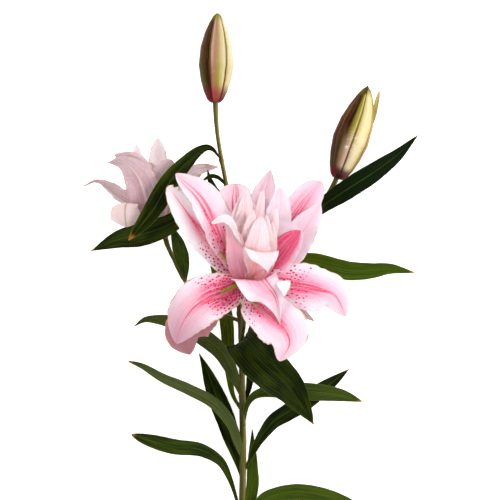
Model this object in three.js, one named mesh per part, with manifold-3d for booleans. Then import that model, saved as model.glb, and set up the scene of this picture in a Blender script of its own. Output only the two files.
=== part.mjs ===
// A cut double lily, lying on its back on the surface z = 0. All sizes are in millimetres.
// +Y runs from the cut end of the stem to the flowers, +X to the right and +Z up.
import * as THREE from "three";
import { mergeVertices } from "three/addons/utils/BufferGeometryUtils.js";
import Module from "manifold-3d";

const wasm = await Module();
wasm.setup();

// Driving dimensions
const JOINT_GAP = 0.3; // what keeps a leaf, bud or bloom clear of the stem that carries it
const LEAF_THICKNESS = 0.8;
const PETAL_THICKNESS = 1;
const LEAF_GRID = [10, 4]; // rows along a blade, columns across it
const LARGE_PETAL_GRID = [9, 4];
const SMALL_PETAL_GRID = [6, 4];
const HEART_GRID = [5, 4];
const SLENDER_GRID = [6, 2];
const LEAST_HALF_WIDTH = 0.45; // where a blade ends
const EDGE_LAG = 2.1; // what sets the ruffle of a blade's left edge apart from its right one, in radians
const CROWDING = 0.25; // draws the rows of a blade a little towards its tip
const STEM_SIDES = 8;
const RECEPTACLE_RINGS = 3;
const FILAMENT_SIDES = 5;
const FILAMENT_RINGS = 4;
const BUD_SIDES = 24;
const BUD_RINGS = 11;
const BUD_PANELS = 6; // three outer petals and the three inner ones that show between them
const BUD_GROOVE = 0.07; // depth of the groove between two panels, as a share of the radius
const BUD_ROUNDNESS = 0.5; // below 1, it makes a panel round and the groove beside it narrow
const FINEST_DETAIL = 0.2; // what is smaller is smoothed away after a union
const WELD = 1e-3; // vertices nearer than this are one
// Moves the plant so that the origin lies below the middle of its bounding box
const PLANT_SHIFT = new THREE.Vector3(-0.7, 39.5, 0);

// Colours
const STEM_GREEN = 0x6f7a3a;
const LEAF_GREEN = 0x2f4a1c;
const PETAL_PINK = 0xf2b3c9;
const PALE_PINK = 0xe6c6cf;
const BUD_GREEN = 0xb9b074;

const vector = (point) => new THREE.Vector3(...point);

// Solids

function solidOf(geometry) {
  const shape = geometry.clone();
  shape.deleteAttribute("normal");
  shape.deleteAttribute("uv");
  const merged = mergeVertices(shape, WELD);
  return new wasm.Manifold(
    new wasm.Mesh({
      numProp: 3,
      vertProperties: merged.attributes.position.array,
      triVerts: new Uint32Array(merged.index.array),
    }),
  );
}

function geometryOf(solid) {
  const { vertProperties, triVerts } = solid.getMesh();
  const geometry = new THREE.BufferGeometry();
  geometry.setAttribute("position", new THREE.BufferAttribute(vertProperties, 3));
  geometry.setIndex(new THREE.BufferAttribute(triVerts, 1));
  geometry.computeVertexNormals();
  return geometry;
}

function join(solids) {
  return solids.reduce((whole, next) => whole.add(next));
}

// A cut can leave scraps and a union can seal small hollows; the piece itself is the largest body.
function largestBody(solid) {
  return solid.decompose().reduce((a, b) => (a.volume() > b.volume() ? a : b));
}

// One clean body: smoothed, welded and rid of scraps.
function tidied(solid) {
  const smooth = largestBody(solid.simplify(FINEST_DETAIL));
  return largestBody(solidOf(geometryOf(smooth)));
}

function meshSolid(points, faces) {
  const geometry = new THREE.BufferGeometry();
  const coordinates = points.flatMap((point) => point.toArray());
  geometry.setAttribute("position", new THREE.Float32BufferAttribute(coordinates, 3));
  geometry.setIndex(faces);
  return solidOf(geometry);
}

// Places and directions on a smooth curve through the given points, at shares of its length.
function stationsAlong(points, shares) {
  const curve = new THREE.CatmullRomCurve3(points.map(vector), false, "centripetal");
  curve.arcLengthDivisions = 400;
  return shares.map((s) => ({ at: curve.getPointAt(s), tangent: curve.getTangentAt(s) }));
}

// Blades: leaves and petals

// Half of a blade's width at a share s of its length. It is fullest at one place and tapers to the tip.
function halfWidth({ width, root, fullest, taper }, s) {
  const rise = (taper * fullest) / (1 - fullest);
  const body = (s / fullest) ** rise * ((1 - s) / (1 - fullest)) ** taper;
  const foot = root * (1 - s) ** 2;
  return (width / 2) * Math.hypot(body, foot) + LEAST_HALF_WIDTH * s;
}

// A value given at the base and the tip, or at the base, the middle and the tip.
function between(values, s) {
  const span = s * (values.length - 1);
  const k = Math.min(Math.floor(span), values.length - 2);
  return values[k] + (values[k + 1] - values[k]) * (span - k);
}

// The direction across a blade: level unless the blade states its own, and rolled about the spine.
function acrossAt({ across, roll }, tangent, s) {
  const side = new THREE.Vector3(tangent.y, -tangent.x, 0);
  if (across) {
    side.set(...[0, 1, 2].map((axis) => between(across.map((direction) => direction[axis]), s)));
  }
  side.addScaledVector(tangent, -side.dot(tangent)).normalize();
  return side.applyAxisAngle(tangent, THREE.MathUtils.degToRad(between(roll, s)));
}

// A point of a blade's middle surface. t runs from -1 to 1 across the blade. cup is the half angle, in
// radians, of the arc that its section follows, fold lifts both halves off the midrib, and wave is the
// height, the number of waves and the phase of its ruffled edge.
function bladePoint(blade, { at, tangent }, s, t) {
  const across = acrossAt(blade, tangent, s);
  const up = across.clone().cross(tangent);
  const half = halfWidth(blade, s);
  const cup = between(blade.cup, s) || 1e-4;
  const [height, waves, phase] = blade.wave;
  const angle = 2 * Math.PI * waves * s + phase + (t < 0 ? EDGE_LAG : 0);
  const ruffle = height * Math.sin(Math.PI * s) * t * t * Math.sin(angle);
  const lift = (half * (1 - Math.cos(cup * t))) / cup + blade.fold * half * Math.abs(t) + ruffle;
  return at
    .clone()
    .addScaledVector(across, (half * Math.sin(cup * t)) / cup)
    .addScaledVector(up, lift);
}

function bladeSolid(blade, [rows, columns], thickness) {
  const even = Array.from({ length: rows + 1 }, (_, i) => i / rows);
  const shares = even.map((x) => x + CROWDING * x * (1 - x));
  const offsets = Array.from({ length: columns + 1 }, (_, j) => (2 * j) / columns - 1);
  const middle = stationsAlong(blade.spine, shares).map((station, i) =>
    offsets.map((t) => bladePoint(blade, station, shares[i], t)),
  );
  const normalAt = (i, j) => {
    const across = middle[i][Math.min(j + 1, columns)].clone().sub(middle[i][Math.max(j - 1, 0)]);
    const ahead = middle[Math.min(i + 1, rows)][j].clone().sub(middle[Math.max(i - 1, 0)][j]);
    return across.cross(ahead).normalize();
  };
  const points = [1, -1].flatMap((face) =>
    middle.flatMap((row, i) =>
      row.map((point, j) => point.clone().addScaledVector(normalAt(i, j), (face * thickness) / 2)),
    ),
  );
  const top = (i, j) => i * (columns + 1) + j;
  const under = (i, j) => (rows + 1 + i) * (columns + 1) + j;
  const faces = [];
  for (let i = 0; i < rows; i++) {
    for (let j = 0; j < columns; j++) {
      faces.push(top(i, j), top(i, j + 1), top(i + 1, j + 1));
      faces.push(top(i, j), top(i + 1, j + 1), top(i + 1, j));
      faces.push(under(i, j), under(i + 1, j + 1), under(i, j + 1));
      faces.push(under(i, j), under(i + 1, j), under(i + 1, j + 1));
    }
    faces.push(top(i, 0), top(i + 1, 0), under(i + 1, 0));
    faces.push(top(i, 0), under(i + 1, 0), under(i, 0));
    faces.push(top(i + 1, columns), top(i, columns), under(i, columns));
    faces.push(top(i + 1, columns), under(i, columns), under(i + 1, columns));
  }
  for (let j = 0; j < columns; j++) {
    faces.push(top(0, j + 1), top(0, j), under(0, j));
    faces.push(top(0, j + 1), under(0, j), under(0, j + 1));
    faces.push(top(rows, j), top(rows, j + 1), under(rows, j + 1));
    faces.push(top(rows, j), under(rows, j + 1), under(rows, j));
  }
  return meshSolid(points, faces);
}

// Rounds: stems, buds and filaments

// A closed body round a curve. radiusAt(s, angle) is its radius, with the angle measured from straight up.
function roundSolid(spine, sides, rings, radiusAt) {
  const shares = Array.from({ length: rings + 1 }, (_, i) => i / rings);
  const stations = stationsAlong(spine, shares);
  const up = new THREE.Vector3(0, 0, 1);
  const ringPoints = stations.flatMap(({ at, tangent }, i) => {
    up.addScaledVector(tangent, -up.dot(tangent)).normalize();
    const right = tangent.clone().cross(up);
    return Array.from({ length: sides }, (_, k) => {
      const angle = (2 * Math.PI * k) / sides;
      const radius = radiusAt(shares[i], angle);
      return at
        .clone()
        .addScaledVector(up, radius * Math.cos(angle))
        .addScaledVector(right, radius * Math.sin(angle));
    });
  });
  const points = [...ringPoints, stations[0].at, stations[rings].at];
  const first = ringPoints.length;
  const last = first + 1;
  const index = (i, k) => i * sides + (k % sides);
  const faces = [];
  for (let k = 0; k < sides; k++) {
    for (let i = 0; i < rings; i++) {
      faces.push(index(i, k), index(i, k + 1), index(i + 1, k + 1));
      faces.push(index(i, k), index(i + 1, k + 1), index(i + 1, k));
    }
    faces.push(first, index(0, k + 1), index(0, k));
    faces.push(last, index(rings, k), index(rings, k + 1));
  }
  return meshSolid(points, faces);
}

// A value on the straight lines between [share, value] pairs.
function profile(pairs, s) {
  const next = Math.max(1, pairs.findIndex(([share]) => share >= s));
  const [s0, v0] = pairs[next - 1];
  const [s1, v1] = pairs[next];
  return v0 + ((v1 - v0) * (s - s0)) / (s1 - s0);
}

// Stem: the main axis, which ends under the top bud, and the stalks of the other bud and of both blooms

const MAIN_NECK = [-4, -50, 58]; // where the main bloom's petals grow from its stalk
const SIDE_NECK = [-87, 15, 40];
const TOP_BUD_FOOT = [-35.8, 153.8, 20];
const RIGHT_BUD_FOOT = [90.4, 76.5, 21];

const STALKS = [
  {
    // main axis
    spine: [
      [-7.8, -324, 3.6], [-7.8, -259.5, 8], [-7.2, -212.5, 12], [-7.9, -155, 18], [-8.7, -97.8, 25],
      [-11.3, -51.3, 31], [-17.4, 10.2, 35], [-24.6, 67.6, 33], [-29.8, 95.5, 30], [-34, 123.5, 26],
      TOP_BUD_FOOT,
    ],
    radii: [[0, 3.7], [0.4, 3.2], [0.6, 2.9], [0.85, 2.1], [0.94, 2.2], [1, 2.8]],
    rings: 26,
  },
  {
    // stalk of the main bloom
    spine: [[-8.9, -92, 26], [-6.9, -81, 36], [-5.6, -66, 48], MAIN_NECK],
    radii: [[0, 2.2], [0.6, 2.4], [1, 3.6]],
    rings: 6,
  },
  {
    // stalk of the side bloom
    spine: [
      [-9.8, -73, 28.5], [-25.6, -66.6, 33], [-46, -54.2, 38], [-66.3, -31.6, 42], [-77.5, -10.2, 43],
      [-84.6, 6, 41.5], SIDE_NECK,
    ],
    radii: [[0, 2.1], [0.8, 2], [1, 2.9]],
    rings: 12,
  },
  {
    // stalk of the right bud
    spine: [
      [-11.5, -48, 31], [8.2, -25.7, 31], [35.9, 7.2, 29], [60, 33, 26.5], [77.4, 54, 24], [84.5, 64, 22],
      RIGHT_BUD_FOOT,
    ],
    radii: [[0, 2.1], [0.8, 2.1], [1, 2.8]],
    rings: 13,
  },
];

// The block that cuts the stem off aslant, in degrees, and the block of all that lies below the surface
const CUT_BLOCK = 30;
const CUT_SLANT = -35;
const CUT_BLOCK_CENTRE = [-7.8, -339, 4];
const SURFACE_BLOCK = [600, 800, 40];

function stemSolid(clearance) {
  return join(
    STALKS.map(({ spine, radii, rings }) =>
      roundSolid(spine, STEM_SIDES, rings, (s) => profile(radii, s) + clearance),
    ),
  );
}

// Leaves, from the cut end up. Each spine starts on the axis of the stem or stalk that carries the leaf.

const LEAF = {
  fullest: 0.5, taper: 1.1, root: 0.26, cup: [0.5, 0.3, 0.2], fold: 0.1, roll: [0, 0], wave: [0.5, 2, 0],
};
const LEAVES = [
  {
    name: "leaf_low_left",
    spine: [
      [-7.8, -282, 6.5], [-14, -258, 12], [-21.7, -234.5, 17], [-31, -217.7, 20], [-49.5, -206.4, 22],
      [-77.4, -203, 19], [-106.6, -196.6, 11], [-123.2, -192, 5],
    ],
    width: 15.5, fullest: 0.72, taper: 0.75,
  },
  {
    name: "leaf_low_right",
    spine: [
      [-7.8, -304, 5.2], [1, -285, 11], [13.5, -259, 18], [25.8, -252.5, 22], [39, -249.5, 25],
      [51.4, -249, 26], [72, -252, 24], [93, -258.3, 19], [132.4, -275.2, 8],
    ],
    width: 17,
  },
  {
    name: "leaf_low_upright",
    spine: [[-7.8, -281, 7], [-1, -264, 9], [2.6, -245, 10.5], [2.6, -225, 12], [2.4, -186, 14]],
    width: 12.5, fullest: 0.4, root: 0.5,
  },
  {
    name: "leaf_left_behind",
    spine: [
      [-7.2, -238, 9.6], [-12.4, -219.5, 9.5], [-18.7, -197, 9], [-24.9, -176.3, 9], [-37.3, -145.2, 9.5],
      [-48.3, -117.3, 10], [-52.9, -107.3, 9],
    ],
    width: 20, fullest: 0.52, taper: 1.2, fold: 0.25,
  },
  {
    name: "leaf_middle_right",
    spine: [
      [-7.2, -232, 10], [-1.5, -219, 17], [3.6, -207.3, 22], [8.2, -197.7, 25], [14.4, -188.3, 27],
      [24.6, -175.6, 29], [38, -166.9, 30], [53.4, -157.7, 29], [70, -146.1, 26], [87.7, -134.1, 20],
      [102.4, -123.5, 13],
    ],
    width: 18, fullest: 0.6, root: 0.16, taper: 1.1,
  },
  {
    name: "leaf_middle_left",
    spine: [
      [-7.4, -214, 12.2], [-12, -200, 18], [-19.8, -178.4, 26], [-36.4, -157.7, 32], [-61.5, -143.5, 33],
      [-88.3, -132.2, 28], [-112, -119.5, 20], [-125.8, -115.1, 15],
    ],
    width: 11.5, fullest: 0.45, taper: 0.7, root: 0.5, roll: [0, 10], cup: [-0.3, -0.2, 0],
  },
  {
    name: "leaf_upper_right",
    spine: [
      [-7.9, -179, 15.4], [-2.6, -158.6, 24], [3.6, -150, 30], [12.3, -145.9, 35], [40.9, -143.6, 40],
      [59.2, -144.4, 39], [94.3, -149.1, 31], [115.5, -156.2, 21],
    ],
    width: 17, fullest: 0.62, taper: 1, root: 0.35,
  },
  {
    name: "leaf_back_right",
    spine: [[-8, -161, 17], [-2, -146, 14], [0.6, -126, 12], [1.4, -103, 12], [1, -80, 12]],
    width: 8.5, grid: SLENDER_GRID,
  },
  {
    name: "leaf_back_left",
    spine: [
      [-8, -167, 16.6], [-17.6, -150, 14], [-21.2, -129.3, 13], [-22.6, -98.2, 12], [-24.8, -70.4, 11],
      [-31, -39.4, 10], [-39, -12.4, 9], [-46, 4, 8],
    ],
    width: 14, fullest: 0.55,
  },
  {
    name: "leaf_upper_left",
    spine: [
      [-8.3, -151, 18.6], [-15.4, -132.5, 22], [-29.1, -105.7, 28], [-48.2, -89.2, 31], [-77, -75, 29],
      [-94.7, -71.6, 25], [-108.3, -71.9, 21], [-119.7, -78.8, 15],
    ],
    width: 17.5, fullest: 0.45,
  },
  {
    name: "leaf_front",
    spine: [
      [-8.4, -107, 24], [-10.5, -100, 36], [-8, -93, 47], [-3, -97, 56], [10.5, -111.5, 61],
      [23, -123.5, 63], [38, -137, 62], [57.5, -165, 56], [64.5, -177, 50],
    ],
    width: 43, across: [[-0.75, -0.65, 0], [-0.78, -0.62, 0]], fullest: 0.4, taper: 1.1, root: 0.3,
    cup: [0.7, 0.4, 0.2],
  },
  {
    name: "leaf_side_stalk",
    spine: [
      [-66.3, -32.6, 42.1], [-66.7, -22.4, 46], [-68.6, -10, 49], [-72.3, 4, 51], [-76.5, 16, 52],
      [-80, 25, 52],
    ],
    width: 14.5,
  },
  {
    name: "leaf_right",
    spine: [
      [-14.6, -14, 34.2], [6, -8, 39], [30, -9, 42], [51, -11.5, 43], [69.4, -13.8, 43], [86.7, -18.4, 42],
      [102.1, -21.4, 40], [122.7, -21.2, 36], [143.6, -19.3, 30], [169.5, -23.2, 19],
    ],
    width: 20, fullest: 0.5, taper: 1, wave: [1.6, 1.6, 0.6],
  },
  {
    name: "leaf_right_bud",
    spine: [
      [60, 33, 26.5], [67, 39, 30], [77, 47, 35], [100.2, 62.6, 40], [124.6, 78.2, 38], [150, 96.6, 30],
      [173.4, 118.5, 17],
    ],
    width: 20.5, fullest: 0.42, root: 0.5,
  },
  {
    name: "leaf_long_left",
    spine: [
      [-19.8, 30, 34.8], [-31, 39, 44], [-46, 42, 54], [-60.6, 38.4, 60], [-85.7, 23.7, 63],
      [-111.3, 15.2, 58], [-134.2, 10.7, 48], [-163.1, -0.9, 32],
    ],
    width: 23, fullest: 0.6, taper: 1.3,
  },
  {
    name: "leaf_top_bud",
    spine: [
      [-29.4, 93, 30.3], [-33.2, 97.1, 38], [-37.7, 102.4, 45], [-43.7, 104.2, 50], [-51.6, 100.5, 54],
      [-60.5, 92.5, 58], [-80.3, 69.2, 65], [-99.1, 38, 72], [-122.1, 9.8, 69],
    ],
    width: 20, fullest: 0.62, taper: 0.95, fold: 0.3, root: 0.12,
  },
  {
    name: "leaf_loop",
    spine: [[-24.4, 66, 33.1], [-31.7, 73.5, 40], [-39, 75.5, 43], [-45.5, 72.5, 43], [-49, 70, 41]],
    width: 4, root: 0.6, grid: SLENDER_GRID,
  },
  {
    name: "leaf_spike",
    spine: [[-21.9, 47, 34.2], [-29, 55, 36], [-36.5, 63, 37], [-41, 72, 37], [-43.4, 82.2, 35]],
    width: 6, grid: SLENDER_GRID,
  },
];

function leafSolid(leaf) {
  return bladeSolid({ ...LEAF, ...leaf }, leaf.grid ?? LEAF_GRID, LEAF_THICKNESS);
}

// Buds

const BUD_OUTLINE = [
  [0, 0.3], [0.03, 0.46], [0.12, 0.67], [0.25, 0.86], [0.42, 1], [0.62, 0.92], [0.78, 0.7], [0.9, 0.44],
  [0.97, 0.24], [1, 0.08],
];
const TOP_BUD = {
  spine: [[-35.8, 152.5, 21], [-35, 190, 17.6], [-33.6, 244.5, 18.3]],
  radius: 18.4,
  turn: 8,
};
const RIGHT_BUD = {
  spine: [[90.2, 74, 20.9], [103.8, 113, 17.9], [114.3, 143, 19.7], [121.3, 168, 21.7]],
  radius: 18.9,
  turn: -25,
};
const PETAL = {
  fullest: 0.6, taper: 0.75, root: 0.2, cup: [0.8, 0.4, 0.2], fold: 0, roll: [0, 0], wave: [0, 0, 0],
};
// Where the right bud begins to open
const BUD_TIPS = [
  {
    spine: [[110, 146, 28], [116, 158, 28], [121.5, 169.3, 24]],
    width: 5, across: [[1, -0.6, 0.4], [1, -0.6, 0.4]], fullest: 0.5, taper: 0.8, cup: [-0.5, -0.3],
  },
  {
    spine: [[123.5, 124, 20], [127.8, 139, 22], [130.5, 152, 22], [133.5, 163.9, 20]],
    width: 4.6, across: [[0.9, -0.3, 0.3], [0.9, -0.4, 0.3]], fullest: 0.5, taper: 0.7, root: 0.6,
    cup: [-0.4, -0.2],
  },
  {
    spine: [[113, 130, 21], [120, 143, 22], [124, 155, 22]],
    width: 9, across: [[1, -0.4, 0], [1, -0.4, 0]], taper: 0.9, cup: [-0.5, -0.3],
  },
];

function budSolid({ spine, radius, turn }) {
  const phase = THREE.MathUtils.degToRad(turn);
  return roundSolid(spine, BUD_SIDES, BUD_RINGS, (s, angle) => {
    const swell = Math.abs(Math.cos((BUD_PANELS / 2) * (angle - phase))) ** BUD_ROUNDNESS;
    return radius * profile(BUD_OUTLINE, s) * (1 - BUD_GROOVE * (1 - swell));
  });
}

function rightBudSolid() {
  const tips = BUD_TIPS.map((tip) => bladeSolid({ ...PETAL, ...tip }, SLENDER_GRID, PETAL_THICKNESS));
  return join([budSolid(RIGHT_BUD), ...tips]);
}

// Main bloom

const MAIN_WAVE = [1.4, 3, 0];
const MAIN_OUTER_PETALS = [
  {
    // upper left back
    spine: [MAIN_NECK, [-7, -32, 68], [-25, -12, 75], [-49, 19, 81], [-66, 42, 84], [-82, 64, 83]],
    width: 32, taper: 0.58,
  },
  {
    // upper left front
    spine: [MAIN_NECK, [-5, -31, 70], [-20, -4, 80], [-34, 30, 89], [-48, 54, 91], [-74, 76, 87]],
    width: 34, roll: [10, 15],
  },
  {
    // lower left front
    spine: [
      MAIN_NECK, [-8, -35, 74], [-25, -41.5, 90], [-41, -47, 98], [-57.5, -59, 99], [-69, -77, 93],
      [-73.5, -93.5, 84],
    ],
    width: 49, across: [[-0.3, 0.95, 0], [-0.4, 0.9, 0], [-0.8, 0.6, 0]], fullest: 0.6,
    cup: [0.6, -0.3, -0.7], wave: [1, 3, 1],
  },
  {
    // lower left back
    spine: [MAIN_NECK, [-14, -42, 64], [-42, -55.5, 72], [-59, -71, 72], [-66.5, -88, 64], [-61, -106, 54]],
    width: 46, fullest: 0.64, taper: 0.8, cup: [0.5, -0.2, -0.6],
  },
  {
    // bottom front
    spine: [
      MAIN_NECK, [-1, -37, 74], [8, -56, 96], [22, -67, 102], [34, -78, 103], [39, -92, 98],
      [29.5, -110.5, 90],
    ],
    width: 48, across: [[-0.6, -0.8, 0], [-0.68, -0.73, 0], [-0.82, -0.57, 0]], fullest: 0.66, taper: 0.75,
    cup: [0.6, -0.2, -0.3], wave: [0.8, 3, 0],
  },
  {
    // bottom back
    spine: [MAIN_NECK, [4, -46, 60], [24, -54, 60], [46, -60, 56], [65, -72, 50]],
    width: 12, taper: 1.1,
  },
  {
    // lower right
    spine: [
      MAIN_NECK, [3, -33, 72], [22, -33, 88], [44, -35.5, 95], [64, -38.5, 96], [84, -45, 91],
      [95.5, -66, 81],
    ],
    width: 47, fullest: 0.58, cup: [0.6, -0.3, -0.7], wave: [1.4, 3, 2],
  },
  {
    // right front
    spine: [MAIN_NECK, [3, -30, 72], [30, -12, 82], [50, 15, 87], [70, 46, 86]],
    width: 34, roll: [0, -20],
  },
  {
    // upper right back
    spine: [MAIN_NECK, [2, -28, 68], [25, 0, 72], [45, 32, 73], [60, 54, 73], [71, 69, 71]],
    width: 36, fullest: 0.66, taper: 0.55,
  },
  {
    // top left
    spine: [MAIN_NECK, [-5, -28, 66], [-12, 10, 67], [-15, 45, 64], [-15, 67, 56]],
    width: 41, across: [[1, 0.1, 0], [1, 0.15, 0]], fullest: 0.7, taper: 0.4,
  },
  {
    // top
    spine: [MAIN_NECK, [-1, -28, 66], [8, 20, 66], [14, 55, 64], [21, 81, 59]],
    width: 30, taper: 0.9,
  },
];

const MAIN_INNER_PETALS = [
  {
    // curled
    spine: [MAIN_NECK, [-7, -28, 82], [-11, -11, 100], [-14.5, 7, 110], [-19, 22, 114], [-24, 32, 113]],
    width: 25, across: [[-0.95, -0.2, -0.25], [-0.95, -0.15, -0.25], [-0.9, -0.1, -0.4]], fullest: 0.45,
    taper: 0.75, cup: [0.5, 0.2, -0.4],
  },
  {
    // the curled petal's margin, turned outwards
    spine: [
      [-3.9, -1.5, 108], [-9.3, 7.9, 113], [-14.2, 18.6, 117], [-19.1, 27.9, 120], [-26.4, 30.8, 121],
      [-37.7, 26, 117],
    ],
    width: 8.5, across: [[-0.5, -0.7, 0.3], [-0.7, -0.5, 0.2], [0.2, -0.9, 0.1]], fullest: 0.66,
    taper: 0.8, root: 0.3, cup: [0.2, 0.3, 0.4],
  },
  {
    // folded
    spine: [MAIN_NECK, [-1, -31, 80], [4, -20, 100], [11, -3, 118], [15, -7, 125], [17.5, -21.5, 123]],
    width: 35, across: [[-1, 0.1, 0], [-1, 0.12, 0]], fullest: 0.75, taper: 1.8,
  },
  {
    // drooping
    spine: [
      MAIN_NECK, [4.5, -38.5, 70], [7.5, -31.8, 86], [7.2, -30.6, 104], [7.6, -31.4, 113], [13, -36.8, 116],
      [21, -45, 113.5], [26.3, -57, 110], [29.8, -74, 104],
    ],
    width: 50, across: [[-1, 0, 0], [-1, 0.02, 0], [-1, 0, 0]], fullest: 0.37, taper: 1.6,
    cup: [0.5, 0, 0.1],
  },
  {
    // cupped
    spine: [MAIN_NECK, [2, -30, 76], [25, -10, 92], [39, 7, 101], [50, 19, 107]],
    width: 31, taper: 0.6, cup: [0.6, 0.35, 0.25], roll: [0, 12],
  },
  {
    // upper right
    spine: [MAIN_NECK, [2, -28, 72], [22, 10, 92], [29, 40, 97], [29.7, 63, 92]],
    width: 30, taper: 0.8,
  },
  {
    // upper middle
    spine: [MAIN_NECK, [0, -28, 72], [10, 20, 86], [13, 45, 86], [10, 59, 83]],
    width: 20, taper: 0.8,
  },
  {
    // upper left
    spine: [MAIN_NECK, [-5, -28, 74], [-8, 15, 92], [-6, 40, 94], [-4.3, 61, 88]],
    width: 26, taper: 0.8,
  },
];

// The closed heart of the main bloom: small petals that stand in layers over a slim core
const HEART_PETAL = { ...PETAL, taper: 0.8, cup: [0.9, 0.8, 0.5], roll: [180, 180] };
const HEART_PETALS = [
  {
    // left behind
    spine: [MAIN_NECK, [-10, -12, 84], [-13.4, 9.9, 95], [-13.9, 29.7, 99], [-9.9, 50.5, 97]],
    width: 15,
  },
  {
    // upper left
    spine: [MAIN_NECK, [-7, -12, 86], [-5.9, 9.9, 98], [-4.4, 35.5, 104], [-4, 59.8, 101]],
    width: 23,
  },
  {
    // twisted
    spine: [MAIN_NECK, [11.9, 7.9, 98], [8.9, 23.7, 104], [9.9, 41.4, 106], [13.3, 59.3, 103]],
    width: 11, fullest: 0.66, cup: [0.9, 0.6, 0.2],
  },
  {
    // right small
    spine: [MAIN_NECK, [18.8, 2, 98], [21.2, 17.8, 106], [23.1, 30.5, 110], [24.6, 40.8, 110]],
    width: 14, fullest: 0.7, taper: 0.5,
  },
  {
    // left low
    spine: [MAIN_NECK, [-5, -11.9, 98], [-5.4, 0, 106], [-3.9, 11.8, 111], [-0.5, 25.6, 112]],
    width: 18,
  },
  {
    // left
    spine: [MAIN_NECK, [-3, -11.9, 98], [-1, 9.8, 110], [1, 25.5, 115], [3.4, 39.3, 113]],
    width: 19,
  },
  {
    // right low
    spine: [MAIN_NECK, [17.8, -11.9, 98], [20.7, 4.9, 108], [22.1, 17.7, 112], [21.6, 28.5, 112]],
    width: 14,
  },
  {
    // point
    spine: [MAIN_NECK, [14.8, -11.9, 100], [15.7, 7.9, 112], [16.2, 21.6, 116], [16.2, 34.3, 115]],
    width: 16,
  },
  {
    // left filling
    spine: [MAIN_NECK, [-8.9, -9.9, 97], [-10.4, 5.9, 103], [-9.9, 21.7, 106], [-6.9, 38.5, 105]],
    width: 13,
  },
  {
    // front
    spine: [MAIN_NECK, [5.9, -13.8, 102], [7.4, 2.9, 117], [8.8, 17.6, 121], [10.8, 32.3, 118]],
    width: 29, fullest: 0.52, taper: 0.6,
  },
  {
    // behind the cupped petal
    spine: [MAIN_NECK, [8, -2, 90], [18.8, 11.9, 97], [32.6, 22.8, 100], [48.5, 19.8, 101]],
    width: 19, across: [[0.5, -0.8, 0.1], [0.3, -0.9, 0.1]], cup: [0.5, 0.3, 0.2], roll: [0, 0],
  },
];
const HEART_CORE = {
  spine: [[-3.5, -32.5, 70], [0.4, -3.5, 91], [4.5, 25, 112]],
  radius: 9.5,
  sides: 10,
  rings: 7,
};
const CORE_ROUNDING = [0.06, 0.88]; // the stretch of half a sine wave that the core's outline follows

const MAIN_RECEPTACLE = {
  spine: [[-4.4, -53, 55], [-4, -42, 64], [-3.2, -31, 73]],
  radii: [[0, 5], [1, 8.5]],
};
const FILAMENTS = [
  { spine: [[-5, -34, 78], [-13, -35, 95], [-28, -41.5, 103]], radius: 2 },
  { spine: [[-3, -36, 80], [-2, -47, 103], [7.5, -55, 107]], radius: 1.6 },
  { spine: [[-8, -30, 76], [-22, -12, 92], [-30, -1.5, 97]], radius: 1.4 },
];

// The thick end of a stalk, which the petals grow from
function receptacleSolid({ spine, radii }) {
  return roundSolid(spine, STEM_SIDES, RECEPTACLE_RINGS, (s) => profile(radii, s));
}

function heartCoreSolid({ spine, radius, sides, rings }) {
  const [start, stretch] = CORE_ROUNDING;
  const bulge = (s) => Math.sqrt(Math.sin(Math.PI * (start + stretch * s)));
  return roundSolid(spine, sides, rings, (s) => radius * bulge(s));
}

function mainBloomSolid() {
  const outer = MAIN_OUTER_PETALS.map((petal) =>
    bladeSolid({ ...PETAL, wave: MAIN_WAVE, ...petal }, LARGE_PETAL_GRID, PETAL_THICKNESS),
  );
  const inner = MAIN_INNER_PETALS.map((petal) =>
    bladeSolid({ ...PETAL, ...petal }, SMALL_PETAL_GRID, PETAL_THICKNESS),
  );
  const heart = HEART_PETALS.map((petal) =>
    bladeSolid({ ...HEART_PETAL, ...petal }, HEART_GRID, PETAL_THICKNESS),
  );
  const filaments = FILAMENTS.map((filament) =>
    roundSolid(filament.spine, FILAMENT_SIDES, FILAMENT_RINGS, () => filament.radius),
  );
  const middle = [receptacleSolid(MAIN_RECEPTACLE), heartCoreSolid(HEART_CORE)];
  return join([...middle, ...outer, ...inner, ...heart, ...filaments]);
}

// Side bloom, seen from its back

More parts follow.
